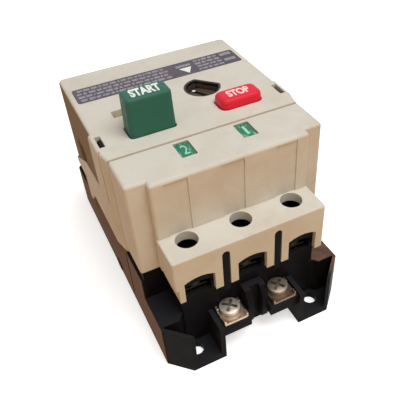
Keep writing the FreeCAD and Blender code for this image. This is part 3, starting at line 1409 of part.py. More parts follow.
save("latch_pin", rod_x(LATCH_PIN_RADIUS, (LATCH_X[0] - 1.8, LATCH_X[1] + 1.8), LATCH_Y, LATCH_Z))
save("coil_bobbins", *[coil_bobbin(x) for x in POLES])
save("coil_windings", *[coil_winding(x) for x in POLES])
save("coil_yokes", *[coil_yoke(x) for x in POLES])
for side, x in zip(("left", "centre", "right"), POLES):
    save("plunger_" + side, plunger(x))
save("housing_screws", *[housing_screw(x, y) for x in (-SCREW_X, SCREW_X) for y in (-SCREW_Y, SCREW_Y)])
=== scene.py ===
import itertools
import json
import math
import random

import bmesh
import bpy
from mathutils import Matrix, Vector


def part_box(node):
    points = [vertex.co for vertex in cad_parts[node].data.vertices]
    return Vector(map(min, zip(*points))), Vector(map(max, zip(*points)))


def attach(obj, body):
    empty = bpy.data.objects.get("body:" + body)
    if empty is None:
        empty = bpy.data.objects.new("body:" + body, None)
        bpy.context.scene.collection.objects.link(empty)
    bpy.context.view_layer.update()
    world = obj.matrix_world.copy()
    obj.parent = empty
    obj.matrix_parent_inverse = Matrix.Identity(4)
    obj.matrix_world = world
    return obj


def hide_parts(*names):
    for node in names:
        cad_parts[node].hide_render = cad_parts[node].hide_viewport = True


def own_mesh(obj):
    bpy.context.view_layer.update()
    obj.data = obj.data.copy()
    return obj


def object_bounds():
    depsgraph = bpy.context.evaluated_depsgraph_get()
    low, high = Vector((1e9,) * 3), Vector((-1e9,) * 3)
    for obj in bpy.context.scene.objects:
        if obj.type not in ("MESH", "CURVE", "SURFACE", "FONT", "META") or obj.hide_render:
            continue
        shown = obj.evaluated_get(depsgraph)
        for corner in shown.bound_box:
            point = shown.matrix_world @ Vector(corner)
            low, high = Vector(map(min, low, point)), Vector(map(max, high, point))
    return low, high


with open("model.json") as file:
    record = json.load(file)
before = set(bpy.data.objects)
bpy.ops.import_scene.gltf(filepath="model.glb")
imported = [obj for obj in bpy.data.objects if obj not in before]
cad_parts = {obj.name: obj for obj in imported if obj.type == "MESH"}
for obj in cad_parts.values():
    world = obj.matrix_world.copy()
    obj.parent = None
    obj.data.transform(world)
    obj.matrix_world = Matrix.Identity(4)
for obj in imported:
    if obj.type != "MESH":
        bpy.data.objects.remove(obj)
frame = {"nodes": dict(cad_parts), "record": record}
cad_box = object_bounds()

# Looks of a motor protection circuit breaker: moulded plastics, plated terminals, printing, light
# and camera. Lengths in the values below are in millimetres, in the part's own frame.

MM = 0.001

# Camera, from the photograph's view
IMAGE_SIZE = (400, 409)
FOCAL_PIXELS = 541.5
AXIS_PIXEL = (228.0, 204.7)
SENSOR_WIDTH = 36.0
CLIP_START = 10.0
CAMERA_PLACE = (-52.8, -144.0, 152.3)
CAMERA_AZIMUTH = -24.96
CAMERA_ELEVATION = 41.38
CAMERA_ROLL = -3.02

# Light from around: linear colours, and the share of each direction over which they set in
PURE_WHITE = (1, 1, 1, 1)
SKY_BACK = (0.10, 0.055, 0.035, 1)
SKY_FRONT = (0.36, 0.25, 0.13, 1)
SKY_LEFT = (0.42, 0.22, 0.08, 1)
SKY_TOP = (0.37, 0.37, 0.37, 1)
FRONTWARDS = (0.2, -0.9)
LEFTWARDS = (-0.2, -0.9)
UPWARDS = (0.05, 0.8)

# Height that the lamps face, and the floor
LAMP_TARGET_Z = 40.0
FLOOR_HALF = 3000.0
FLOOR_DROP = 0.05
FLOOR_GLOW = 0.55

# Colours as they look on a screen, 0 to 255
BEIGE = (218, 213, 203)
BEIGE_STAIN = (190, 172, 144)
BEIGE_PALE = (226, 221, 210)
BEIGE_SMUDGE = (184, 180, 172)
BLACK = (20, 19, 21)
BLACK_DEEP = (12, 12, 13)
# Also the colour of painted shade in the hollows of metal
BLACK_DUST_AND_SHADE = (52, 44, 40)
BLACK_SHEEN = (242, 206, 190)
# Painted reflection on black faces that look up
BLACK_UPWARD_REFLECTION = (58, 58, 64)
LEDGE_BROWN = (128, 98, 82)
GREEN = (52, 106, 90)
GREEN_DARK = (44, 94, 77)
GREEN_WORN = (90, 146, 124)
RED = (230, 38, 60)
RED_DARK = (186, 26, 48)
RED_WORN = (232, 86, 100)
WINDOW_GREEN = (34, 120, 90)
WINDOW_DARK = (12, 62, 46)
DIAL_BLACK = (84, 70, 61)
DIAL_STAIN = (40, 30, 24)
DIAL_WORN = (58, 48, 42)
LABEL_GREY = (82, 75, 86)
LABEL_WORN = (106, 98, 106)
NYLON = (222, 220, 212)
NYLON_STAIN = (200, 194, 178)
NYLON_WORN = (232, 231, 226)
THERMOSET = (88, 68, 56)
THERMOSET_STAIN = (62, 48, 40)
THERMOSET_WORN = (120, 98, 84)
FIBRE = (152, 148, 144)
FIBRE_STAIN = (122, 116, 110)
FIBRE_WORN = (172, 168, 164)
ZINC = (222, 214, 202)
ZINC_TARNISH = (160, 142, 118)
ZINC_AGED = (136, 120, 98)
CLAMP = (206, 180, 158)
CLAMP_TARNISH = (122, 94, 70)
CLAMP_AGED = (96, 74, 62)
DARK_STEEL = (56, 50, 46)
DARK_STEEL_TARNISH = (34, 29, 26)
FRAME_STEEL = (190, 190, 188)
FRAME_STEEL_TARNISH = (142, 134, 120)
SPRING_STEEL = (176, 176, 180)
SPRING_STEEL_TARNISH = (120, 114, 108)
COPPER = (98, 69, 53)
COPPER_TARNISH = (62, 43, 33)
BIMETAL = (198, 192, 182)
BIMETAL_TARNISH = (140, 124, 104)
HEATER = (150, 144, 138)
HEATER_TARNISH = (104, 92, 84)
PRINT_PALE = (156, 151, 159)
WORD_WHITE = (240, 246, 242)
STOP_WHITE = (250, 222, 222)
# Pale green of the window numerals and worn edges, also the painted highlight streaks
MARK_AND_HIGHLIGHT_GREEN = (160, 226, 198)
RECESS_DARK = (150, 134, 108)
# Painted shade on the left flank, soil with painted shade at the seam, and a painted shadow spot on
# the flank
FLANK_SHADE = (162, 152, 146)
SEAM_STAIN_AND_SHADE = (168, 146, 116)
FLANK_SHADOW = (104, 96, 92)
FLOOR_WHITE = (246, 246, 246)
FLOOR_WARM = (210, 163, 106)

# Edge softness of the solids, and the reach within which split corners are joined
EDGE_ROUND = 0.16
EDGE_ANGLE = 32.0
EDGE_SEGMENTS = 2
MERGE_REACH = 0.001

# Shading: samples of the edge and hollow nodes, and the levels between which each sets in
NODE_SAMPLES = 6
EDGE_LEVELS = (0.995, 0.86)
HOLLOW_LEVELS = (0.75, 0.2)
UPWARD_REFLECTION_LEVELS = (0.6, 0.95)
NOISE_ROUGHNESS = 0.6
GRAIN_DETAIL = 4.0
GRAIN_DEPTH = 0.25
SHEEN_ROUGHNESS = 0.35
# Strength of the painted shade, with dust, in the hollows of metal
METAL_SOIL_AND_SHADE = 0.9
THIN_BORDER = 0.1

# Thickness of printed ink, and the depth of letters before they are fitted to it
INK = 0.03
LETTER_DEPTH = 0.5

# Words on the buttons: body, word, slot, and size in X and Y
BUTTON_WORDS = (
    ("start", "START", "green_plastic", (9.3, 4.6)),
    ("stop", "STOP", "red_plastic", (7.7, 3.7)),
)
WORD_BOLD = 0.045

# Printing on the label strip: rows of plain bars, a pointer and three bold bars
LABEL_ROWS = 4
LABEL_SPARE = 0.5
LABEL_FIRST = 0.75
LABEL_MARGIN = 1.0
LABEL_GAP_X = (3.4, 13.6)
LABEL_BOLD_X = 24.4
LABEL_BOLD_MARGIN = 1.2
POINTER_X = 9.8
POINTER_HALF = 2.3
POINTER_LENGTH = 4.2
HEADING_X = (-2.9, 2.6)

# Places in a row of the label, as shares of the pitch from the row's middle
POINTER_TIP = 0.3
HEADING_SPAN = (0.1, 0.75)
BOLD_SPAN = (-0.65, 0.2)

# Uneven bars: seed, indent, length, gap and shortest rest of a row, and half height over the pitch
BAR_SEED = 5
BAR_INDENT = (0.0, 0.6)
BAR_LENGTH = (0.7, 2.6)
BAR_GAP = (0.3, 0.65)
BAR_LEAST = 0.6
BAR_HALF = (0.24, 0.32)

# Numerals in the two small windows, with their widths, and the part of the tabs that shows there
WINDOW_NUMERALS = (("left", "2", 1.9), ("right", "1", 0.9))
WINDOW_Y = -24.65
MARK_HEIGHT = 4.4
PANE_REACH = 5.0
PANE_DEPTH = 0.4

# Ends of the pole barriers in the slots of both terminal hoods, with Y away from the middle
TONGUE_X = 8.75
TONGUE_HALF = 1.15
TONGUE_Y = (46.1, 44.0)
TONGUE_Z = (23.6, 39.7)
TONGUE_ROUND = 0.25

# Raised rims of the inner wire arches, behind the arches of the terminal hoods
RIM_X = (-17.5, 0.0, 17.5)
RIM_HALF = 5.4
RIM_Y = (44.75, 44.0)
RIM_TOP = 34.9
RIM_SPRING = 29.5
RIM_RISE = 1.1
RIM_ROUND = 0.15

# Steps along the arc of a tongue or a rim, and around a dot
ARC_STEPS = 12
DOT_SIDES = 20

# Opening springs, pressed together by the contact carrier when the tall button goes down
SPRING_X = 25.7
SPRING_RADIUS = 2.2
SPRING_WIRE = 0.4
SPRING_TURNS = 5
SPRING_STEPS = 18
SPRING_SIDES = 8

# White dot on the setting dial
DOT_OFFSET = (-1.7, 3.6)
DOT_RADIUS = 0.6

# Patches of stain, tarnish and painted shade: spans in X, Y and Z
SEAM_Y = -19.3
# Painted shade on the left flank, a painted shadow spot on it, and soil with painted shade at the
# seam
FLANK_SHADED = ((-32.2, -31.7), (-3.6, 40.0), (30.0, 62.4))
FLANK_SHADOWED = ((-32.2, -31.7), (15.5, 23.0), (39.5, 45.0))
SEAM_DIRT_AND_SHADE = ((-33.0, 33.0), (SEAM_Y - 0.35, SEAM_Y + 0.35), (61.0, 64.0))
DIAL_RIM = ((0.0, 19.0), (-3.0, 14.0), (61.9, 63.2))
DIAL_WALL = ((0.0, 19.0), (-1.5, 13.0), (56.0, 62.85))
RIGHT_TERMINAL = ((4.0, 14.0), (-56.0, -40.0), (8.0, 20.0))
LEDGE_PATCH = ((24.0, 31.0), (-50.0, -40.0), (17.3, 17.7))

# Outer sides of the base, where dust has settled: distance from the middle over which it sets in
DUST_X = (30.4, 31.2)

# Floor of the shallow recess behind the tall button, and the clean border of the darker patch on it
RECESS_X = (-22.4, -11.5)
RECESS_Y = (1.35, 5.35)
RECESS_FLOOR = 61.5
RECESS_BORDER = 0.05


# Node trees

def shade(colour):
    """Linear colour from one written as it looks on a screen."""
    linear = []
    for value in colour:
        share = value / 255
        linear.append(share / 12.92 if share <= 0.04045 else ((share + 0.055) / 1.055) ** 2.4)
    return (*linear, 1.0)


def add(tree, kind, inputs=(), **settings):
    """New node; each input is a value or another node's output."""
    made = tree.nodes.new(kind)
    for name, value in settings.items():
        setattr(made, name, value)
    for key, value in dict(inputs).items():
        if isinstance(value, bpy.types.NodeSocket):
            tree.links.new(value, made.inputs[key])
        else:
            made.inputs[key].default_value = value
    return made


def math_node(tree, operation, first, second):
    return add(tree, "ShaderNodeMath", {0: first, 1: second}, operation=operation).outputs[0]


def spread(tree, value, low, high, to_low=0.0, to_high=1.0):
    """Value carried from one range to another, held at its ends."""
    inputs = {"Value": value, "From Min": low, "From Max": high}
    inputs |= {"To Min": to_low, "To Max": to_high}
    return add(tree, "ShaderNodeMapRange", inputs, clamp=True).outputs["Result"]


def mixed(tree, factor, first, second):
    made = add(tree, "ShaderNodeMix", {0: factor, 6: first, 7: second}, data_type="RGBA")
    return made.outputs[2]


def own_place(tree):
    """Place on a solid, in the part's frame."""
    return add(tree, "ShaderNodeTexCoord").outputs["Object"]


def split(tree, vector):
    """The X, Y and Z of a vector."""
    return add(tree, "ShaderNodeSeparateXYZ", {"Vector": vector}).outputs


def noise(tree, place, size, detail):
    """Noise with blotches of about the given size in millimetres."""
    inputs = {"Vector": place, "Scale": 1 / (size * MM), "Detail": detail}
    inputs["Roughness"] = NOISE_ROUGHNESS
    return add(tree, "ShaderNodeTexNoise", inputs).outputs["Fac"]


def marks(tree, place, size, levels, strengths=(0.0, 1.0), detail=3.0):
    """Noise carried from two of its levels to two strengths."""
    return spread(tree, noise(tree, place, size, detail), *levels, *strengths)


def edges(tree, radius):
    """One on edges and zero on flat faces."""
    bevel = add(tree, "ShaderNodeBevel", {"Radius": radius * MM}, samples=NODE_SAMPLES)
    flat = add(tree, "ShaderNodeNewGeometry").outputs["Normal"]
    inputs = {0: bevel.outputs["Normal"], 1: flat}
    agree = add(tree, "ShaderNodeVectorMath", inputs, operation="DOT_PRODUCT").outputs["Value"]
    return spread(tree, agree, *EDGE_LEVELS)


def hollows(tree, reach):
    """One in narrow hollows and zero in the open, by ambient occlusion; the materials darken by it
    as painted shade.
    """
    inputs = {"Distance": reach * MM}
    shaded = add(tree, "ShaderNodeAmbientOcclusion", inputs, samples=NODE_SAMPLES)
    return spread(tree, shaded.outputs["AO"], *HOLLOW_LEVELS)


def grain(tree, place, size, strength):
    """Bump of a fine moulded or worn surface."""
    height = noise(tree, place, size, GRAIN_DETAIL)
    inputs = {"Strength": strength, "Distance": size * GRAIN_DEPTH * MM, "Height": height}
    return add(tree, "ShaderNodeBump", inputs).outputs["Normal"]


def between(tree, value, span, soft):
    """One between two limits in millimetres, fading out over a soft border."""
    low, high = (limit * MM for limit in span)
    rise = spread(tree, value, low - soft * MM, low)
    fall = spread(tree, value, high + soft * MM, high)
    return math_node(tree, "MULTIPLY", rise, fall)


def inside(tree, spans, soft):
    """One inside a box of the part's frame, fading out along the faces that it covers."""
    parts = split(tree, own_place(tree))
    share = 1.0
    for axis, span in zip("XYZ", spans):
        border = soft if span[1] - span[0] > 2 * soft else THIN_BORDER
        share = math_node(tree, "MULTIPLY", share, between(tree, parts[axis], span, border))
    return share


# Materials

def start_material(name):
    material = bpy.data.materials.new(name)
    material.use_nodes = True
    tree = material.node_tree
    return material, tree, tree.nodes["Principled BSDF"], own_place(tree)


def lay_over(material, share, colour):
    """Lays a colour over the material's own, as far as the share says."""
    tree = material.node_tree
    target = tree.nodes["Principled BSDF"].inputs["Base Color"]
    under = target.links[0].from_socket
    tree.links.new(mixed(tree, share, under, shade(colour)), target)


def lay_stain_and_shade(material, spans, colour, soft, strength, ragged=0.1):
    """Lays a stain or a patch of painted shade over a material inside a box, broken up by the share
    that is ragged.
    """
    tree = material.node_tree
    strengths = (strength * (1 - ragged), strength)
    broken = marks(tree, own_place(tree), size=4.0, levels=(0.38, 0.6), strengths=strengths)
    lay_over(material, math_node(tree, "MULTIPLY", inside(tree, spans, soft), broken), colour)


def dull(material, share):
    """Takes the gloss away where the share is one."""
    tree = material.node_tree
    gloss = tree.nodes["Principled BSDF"].inputs["Specular IOR Level"]
    tree.links.new(spread(tree, share, 0.0, 1.0, gloss.default_value, 0.0), gloss)


def smudge(material, colour):
    """Adds faint finger-wide smudges."""
    tree = material.node_tree
    place = own_place(tree)
    share = marks(tree, place, size=5.0, levels=(0.58, 0.72), strengths=(0.0, 0.25), detail=5.0)
    lay_over(material, share, colour)


def paint_upward_reflection(material, colour, strength):
    """Lays a painted grey-blue reflection over faces that look up."""
    tree = material.node_tree
    upward = split(tree, add(tree, "ShaderNodeNewGeometry").outputs["Normal"])["Z"]
    lay_over(material, spread(tree, upward, *UPWARD_REFLECTION_LEVELS, 0.0, strength), colour)


def paint_highlight_streaks(material, spans, colour, soft):
    """Adds bright streaks inside a box: painted highlights, as on a glossy moulding behind a small
    window.
    """
    tree = material.node_tree
    inputs = {"Vector": own_place(tree), "Rotation": (0, 0, 0.7), "Scale": (1.6, 0.6, 1)}
    place = add(tree, "ShaderNodeMapping", inputs).outputs[0]
    share = marks(tree, place, size=1.6, levels=(0.52, 0.68), strengths=(0.0, 0.55), detail=5.0)
    lay_over(material, math_node(tree, "MULTIPLY", inside(tree, spans, soft), share), colour)


def dust(material, tint, thin, thick):
    """Adds fine warm dust that shows along a face, thickest on the outer sides."""
    tree = material.node_tree
    shader = tree.nodes["Principled BSDF"]
    across = math_node(tree, "ABSOLUTE", split(tree, own_place(tree))["X"], 0.0)
    outwards = spread(tree, across, DUST_X[0] * MM, DUST_X[1] * MM)
    sheen = spread(tree, outwards, 0.0, 1.0, thin, thick)
    tree.links.new(sheen, shader.inputs["Sheen Weight"])
    dull(material, outwards)
    shader.inputs["Sheen Roughness"].default_value = SHEEN_ROUGHNESS
    shader.inputs["Sheen Tint"].default_value = shade(tint)


def moulded(name, main, stain, worn, roughness, specular, hollow_soil_and_shade=0.35, wear=0.4):
    """Moulded plastic: blotchy colour, soil and painted shade in hollows, pale worn edges and a
    fine grain.
    """
    material, tree, shader, place = start_material(name)
    blotch = marks(tree, place, size=14.0, levels=(0.42, 0.72), strengths=(0.0, 0.3))
    colour = mixed(tree, blotch, shade(main), shade(stain))
    speck = marks(tree, place, size=0.7, levels=(0.62, 0.78), strengths=(0.0, 0.25), detail=2.0)
    colour = mixed(tree, speck, colour, shade(stain))
    # Painted shade, with soil: darker in hollows by ambient occlusion
    soil_and_shade = math_node(tree, "MULTIPLY", hollows(tree, reach=2.5), hollow_soil_and_shade)
    colour = mixed(tree, soil_and_shade, colour, shade(stain))
    scuff = marks(tree, place, size=3.0, levels=(0.4, 0.65))
    rubbed = math_node(tree, "MULTIPLY", edges(tree, radius=0.35), scuff)
    rubbed = math_node(tree, "MULTIPLY", rubbed, wear)
    colour = mixed(tree, rubbed, colour, shade(worn))
    tree.links.new(colour, shader.inputs["Base Color"])
    strengths = (roughness - 0.06, roughness + 0.08)
    uneven = marks(tree, place, size=5.0, levels=(0.3, 0.7), strengths=strengths)
    tree.links.new(uneven, shader.inputs["Roughness"])
    tree.links.new(grain(tree, place, size=0.18, strength=0.12), shader.inputs["Normal"])
    shader.inputs["Specular IOR Level"].default_value = specular
    return material


def metal(name, bright, tarnish, roughness, tarnished=0.4, bare=1.0):
    """Plated or bare metal: tarnish in patches, dust and painted shade in hollows, and fine
    scratches.
    """
    material, tree, shader, place = start_material(name)
    blotch = marks(tree, place, size=2.6, levels=(0.45, 0.7), strengths=(0.0, tarnished))
    colour = mixed(tree, blotch, shade(bright), shade(tarnish))
    # Painted shade, with dust: darker in hollows by ambient occlusion
    soil_and_shade = math_node(tree, "MULTIPLY", hollows(tree, reach=2.0), METAL_SOIL_AND_SHADE)
    colour = mixed(tree, soil_and_shade, colour, shade(BLACK_DUST_AND_SHADE))
    tree.links.new(colour, shader.inputs["Base Color"])
    strengths = (roughness - 0.08, roughness + 0.12)
    uneven = marks(tree, place, size=0.8, levels=(0.3, 0.7), strengths=strengths)
    tree.links.new(uneven, shader.inputs["Roughness"])
    tree.links.new(grain(tree, place, size=0.3, strength=0.03), shader.inputs["Normal"])
    shader.inputs["Metallic"].default_value = bare
    return material


def ink(name, colour, under, bare, size=0.5):
    """Printed or filled-in ink, worn through in specks."""
    material, tree, shader, place = start_material(name)
    lost = marks(tree, place, size, levels=(0.5, 0.68), strengths=(0.0, bare))
    tree.links.new(mixed(tree, lost, shade(colour), shade(under)), shader.inputs["Base Color"])
    uneven = marks(tree, place, size=1.0, levels=(0.3, 0.7), strengths=(0.5, 0.7))
    tree.links.new(uneven, shader.inputs["Roughness"])
    return material


def beige_plastic():
    """Covers: dull, with painted shade, on the set-back left flank and a painted shadow spot in it;
    soiled with painted shade at the seam; dirty round the dial.
    """
    beige = moulded("beige_plastic", BEIGE, BEIGE_STAIN, BEIGE_PALE, roughness=0.55, specular=0.06)
    smudge(beige, BEIGE_SMUDGE)
    # Painted shade: the set-back left flank darker and without gloss
    lay_stain_and_shade(beige, FLANK_SHADED, FLANK_SHADE, soft=0.3, strength=1.0)
    dull(beige, inside(beige.node_tree, FLANK_SHADED, soft=0.3))
    # Soil and painted shade along the seam groove
    lay_stain_and_shade(beige, SEAM_DIRT_AND_SHADE, SEAM_STAIN_AND_SHADE, soft=0.2, strength=0.8)
    lay_stain_and_shade(beige, DIAL_WALL, BLACK_DUST_AND_SHADE, soft=0.1, strength=0.95)
    # Painted shadow: a dark spot in the recess of the left flank
    lay_stain_and_shade(beige, FLANK_SHADOWED, FLANK_SHADOW, soft=2.5, strength=0.9)
    return beige


def black_plastic():
    """Base: dusty on its outer sides, with a painted grey-blue reflection on faces that look up and
    a brown patch on a ledge at the right front.
    """
    black = moulded(
        "black_plastic", BLACK, BLACK_DEEP, BLACK_DUST_AND_SHADE,
        roughness=0.5, specular=0.035, hollow_soil_and_shade=0.3, wear=0.5,
    )
    dust(black, BLACK_SHEEN, thin=0.02, thick=0.62)
    # Painted reflection: grey-blue on the faces that look up
    paint_upward_reflection(black, BLACK_UPWARD_REFLECTION, strength=0.4)
    # Brown patch on the ledge at the right front
    lay_stain_and_shade(black, LEDGE_PATCH, LEDGE_BROWN, soft=2.0, strength=0.8, ragged=0.5)
    return black


def dial_plastic():
    """Dial and its well, black at the rim of the well."""
    dial = moulded(
        "dial_plastic", DIAL_BLACK, DIAL_STAIN, DIAL_WORN,
        roughness=0.25, specular=0.4, hollow_soil_and_shade=0.2, wear=0.2,
    )
    lay_stain_and_shade(dial, DIAL_RIM, BLACK, soft=0.3, strength=1.0)
    return dial


def aux_green():
    """Auxiliary contact blocks, with painted highlight streaks where their tabs show in the
    windows, and strong painted shade in hollows along the window edges.
    """
    # Hollows darkened strongly: painted shade along the edges of the windows
    green = moulded(
        "aux_green", WINDOW_GREEN, WINDOW_DARK, MARK_AND_HIGHLIGHT_GREEN,
        roughness=0.2, specular=0.3, hollow_soil_and_shade=0.95, wear=0.2,
    )
    top = span_of("aux_block_left")[1].z
    pane_x = (cad_box[0][0] / MM, cad_box[1][0] / MM)
    pane_y = (WINDOW_Y - PANE_REACH, WINDOW_Y + PANE_REACH)
    pane_z = (top - PANE_DEPTH, top + PANE_DEPTH)
    # Painted highlights on the tabs that show in the windows
    paint_highlight_streaks(green, (pane_x, pane_y, pane_z), MARK_AND_HIGHLIGHT_GREEN, soft=0.1)
    return green


def zinc_steel():
    zinc = metal("zinc_steel", ZINC, ZINC_TARNISH, roughness=0.34, tarnished=0.4, bare=0.7)
    lay_stain_and_shade(zinc, RIGHT_TERMINAL, ZINC_AGED, soft=0.5, strength=0.7)
    return zinc


def clamp_steel():
    clamp = metal("clamp_steel", CLAMP, CLAMP_TARNISH, roughness=0.34, tarnished=0.6, bare=0.8)
    lay_stain_and_shade(clamp, RIGHT_TERMINAL, CLAMP_AGED, soft=0.5, strength=0.8)
    return clamp


def make_plastics():
    return {
        "beige_plastic": beige_plastic(),
        "black_plastic": black_plastic(),
        "dial_plastic": dial_plastic(),
        "aux_green": aux_green(),
        "green_plastic": moulded(
            "green_plastic", GREEN, GREEN_DARK, GREEN_WORN,
            roughness=0.42, specular=0.15, hollow_soil_and_shade=0.3, wear=0.3,
        ),
        "red_plastic": moulded(
            "red_plastic", RED, RED_DARK, RED_WORN,
            roughness=0.36, specular=0.18, hollow_soil_and_shade=0.3, wear=0.25,
        ),
        "label_grey": moulded(
            "label_grey", LABEL_GREY, LABEL_WORN, LABEL_WORN,
            roughness=0.55, specular=0.3, hollow_soil_and_shade=0.1, wear=0.3,
        ),
        "white_nylon": moulded(
            "white_nylon", NYLON, NYLON_STAIN, NYLON_WORN, roughness=0.45, specular=0.4
        ),
        "dark_thermoset": moulded(
            "dark_thermoset", THERMOSET, THERMOSET_STAIN, THERMOSET_WORN,
            roughness=0.5, specular=0.3,
        ),
        "grey_fibre": moulded(
            "grey_fibre", FIBRE, FIBRE_STAIN, FIBRE_WORN, roughness=0.7, specular=0.2
        ),
    }


def make_metals():
    return {
        "zinc_steel": zinc_steel(),
        "clamp_steel": clamp_steel(),
        "dark_steel": metal(
            "dark_steel", DARK_STEEL, DARK_STEEL_TARNISH, roughness=0.34, tarnished=0.6
        ),
        "frame_steel": metal("frame_steel", FRAME_STEEL, FRAME_STEEL_TARNISH, roughness=0.34),
        "spring_steel": metal("spring_steel", SPRING_STEEL, SPRING_STEEL_TARNISH, roughness=0.28),
        "copper": metal("copper", COPPER, COPPER_TARNISH, roughness=0.36),
        "bimetal_strip": metal("bimetal_strip", BIMETAL, BIMETAL_TARNISH, roughness=0.36),
        "heater_alloy": metal("heater_alloy", HEATER, HEATER_TARNISH, roughness=0.42),
    }


def make_inks():
    return {
        "start_ink": ink("start_ink", WORD_WHITE, GREEN, bare=0.3),
        "stop_ink": ink("stop_ink", STOP_WHITE, RED, bare=0.35),
        "white_ink": ink("white_ink", WORD_WHITE, LABEL_WORN, bare=0.3),
        "bar_ink": ink("bar_ink", PRINT_PALE, LABEL_GREY, bare=0.9, size=0.7),
        "mark_ink": ink("mark_ink", MARK_AND_HIGHLIGHT_GREEN, WINDOW_GREEN, bare=0.4),
        # Darker patch for the floor of the recess behind the tall button
        "stain": ink("stain", RECESS_DARK, BEIGE_STAIN, bare=0.5, size=2.0),
    }


# Solids from the frame

def span_of(node):
    """Lowest corner, highest corner and middle of a node in millimetres."""
    low, high = (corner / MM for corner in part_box(node))
    return low, high, (low + high) / 2


def soften_group():
    """Joins split corners, shades round faces smooth and keeps sharp edges sharp."""
    group = bpy.data.node_groups.new("soften", "GeometryNodeTree")
    for way in ("INPUT", "OUTPUT"):
        group.interface.new_socket("Geometry", in_out=way, socket_type="NodeSocketGeometry")
    shape = group.nodes.new("NodeGroupInput").outputs["Geometry"]
    inputs = {"Geometry": shape, "Name": "custom_normal"}
    plain = add(group, "GeometryNodeRemoveAttribute", inputs)
    inputs = {"Geometry": plain.outputs[0], "Distance": MERGE_REACH * MM}
    whole = add(group, "GeometryNodeMergeByDistance", inputs)
    inputs = {"Geometry": whole.outputs[0]}
    smooth = add(group, "GeometryNodeSetShadeSmooth", inputs, domain="FACE")
    angle = add(group, "GeometryNodeInputMeshEdgeAngle").outputs["Unsigned Angle"]
    settings = {"data_type": "FLOAT", "operation": "GREATER_THAN"}
    limits = {0: angle, 1: math.radians(EDGE_ANGLE)}
    sharp = add(group, "FunctionNodeCompare", limits, **settings).outputs[0]
    inputs = {"Geometry": smooth.outputs[0], "Selection": sharp, "Shade Smooth": False}
    kept = add(group, "GeometryNodeSetShadeSmooth", inputs, domain="EDGE")
    output = group.nodes.new("NodeGroupOutput")
    group.links.new(kept.outputs[0], output.inputs["Geometry"])
    return group


def dress_solids(materials):
    """Gives every solid its slot's material, smooth round faces and slightly rounded edges."""
    group = soften_group()
    for part in frame["record"]["subparts"]:
        solid = frame["nodes"][part["node"]]
        solid.data.materials.clear()
        solid.data.materials.append(materials[part["material_slot"]])
        soften = solid.modifiers.new("soften", "NODES")
        soften.node_group = group
        bevel = solid.modifiers.new("edge", "BEVEL")
        bevel.width = EDGE_ROUND * MM
        bevel.segments = EDGE_SEGMENTS
        bevel.limit_method = "ANGLE"
        bevel.angle_limit = math.radians(EDGE_ANGLE)
        bevel.use_clamp_overlap = True
        bevel.harden_normals = True


# Making of pieces

def new_object(name, data):
    """Object with the given data, linked into the scene."""
    made = bpy.data.objects.new(name, data)
    bpy.context.scene.collection.objects.link(made)
    return made


def place_mesh(mesh, body, material):
    piece = new_object(mesh.name, mesh)
    piece.data.materials.append(material)
    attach(piece, body)
    return piece


def finished(shape, name):
    """Mesh of a built shape, with its faces turned outwards."""
    bmesh.ops.recalc_face_normals(shape, faces=shape.faces)
    mesh = bpy.data.meshes.new(name)
    shape.to_mesh(mesh)
    shape.free()
    return mesh


def walls(shape, low, high):
    """Faces between two loops of corners."""
    for index in range(len(low)):
        after = (index + 1) % len(low)
        shape.faces.new((low[index], low[after], high[after], high[index]))


def lettering(name, text, middle, size, bold):
    """Mesh of a word in ink thickness, fitted to a size in X and Y about its middle."""
    curve = bpy.data.curves.new(name, "FONT")
    curve.body = text
    curve.extrude = LETTER_DEPTH
    curve.offset = bold
    holder = new_object(name, curve)
    depsgraph = bpy.context.evaluated_depsgraph_get()
    mesh = bpy.data.meshes.new_from_object(holder.evaluated_get(depsgraph))
    bpy.data.objects.remove(holder)
    mesh.name = name
    low = [min(vertex.co[axis] for vertex in mesh.vertices) for axis in range(3)]
    high = [max(vertex.co[axis] for vertex in mesh.vertices) for axis in range(3)]
    sizes = (*size, INK)
    scale = [sizes[axis] * MM / (high[axis] - low[axis]) for axis in range(3)]
    centre = Vector([(low[axis] + high[axis]) / 2 for axis in range(3)])
    fit = Matrix.Diagonal((*scale, 1.0)) @ Matrix.Translation(-centre)
    mesh.transform(Matrix.Translation(Vector(middle) * MM) @ fit)
    return mesh


def prints(name, outlines, z):
    """Mesh of flat printed patches, each an outline of (x, y) corners, on the height z."""
    shape = bmesh.new()
    for outline in outlines:
        low = [shape.verts.new((x * MM, y * MM, z * MM)) for x, y in outline]
        high = [shape.verts.new((x * MM, y * MM, (z + INK) * MM)) for x, y in outline]
        shape.faces.new(list(reversed(low)))
        shape.faces.new(high)
        walls(shape, low, high)
    return finished(shape, name)


def slabs(name, outlines, y, rounding):
    """Mesh of upright slabs at both ends, outlined in (x, z), with softened outer edges."""
    shape = bmesh.new()
    for outline, end in itertools.product(outlines, (-MM, MM)):
        front = [shape.verts.new((x * MM, y[0] * end, z * MM)) for x, z in outline]
        back = [shape.verts.new((x * MM, y[1] * end, z * MM)) for x, z in outline]
        face = shape.faces.new(front)
        shape.faces.new(list(reversed(back)))
        walls(shape, back, front)
        rim = list(face.edges)
        bmesh.ops.bevel(shape, geom=rim, offset=rounding * MM, segments=2, affect="EDGES")
    return finished(shape, name)


def patch(x, y):
    """Outline of a rectangle from its two spans."""
    return [(x[0], y[0]), (x[1], y[0]), (x[1], y[1]), (x[0], y[1])]


def on_circle(centre, radius, turn):
    return centre[0] + radius * math.cos(turn), centre[1] + radius * math.sin(turn)


# Printing and marks

def button_words(materials):
    for body, text, slot, size in BUTTON_WORDS:
        _, high, middle = span_of(body + "_button")
        spot = (middle.x, middle.y, high.z + INK / 2)
        mesh = lettering(body + "_word", text, spot, size, WORD_BOLD)
        place_mesh(mesh, body, materials[body + "_ink"])


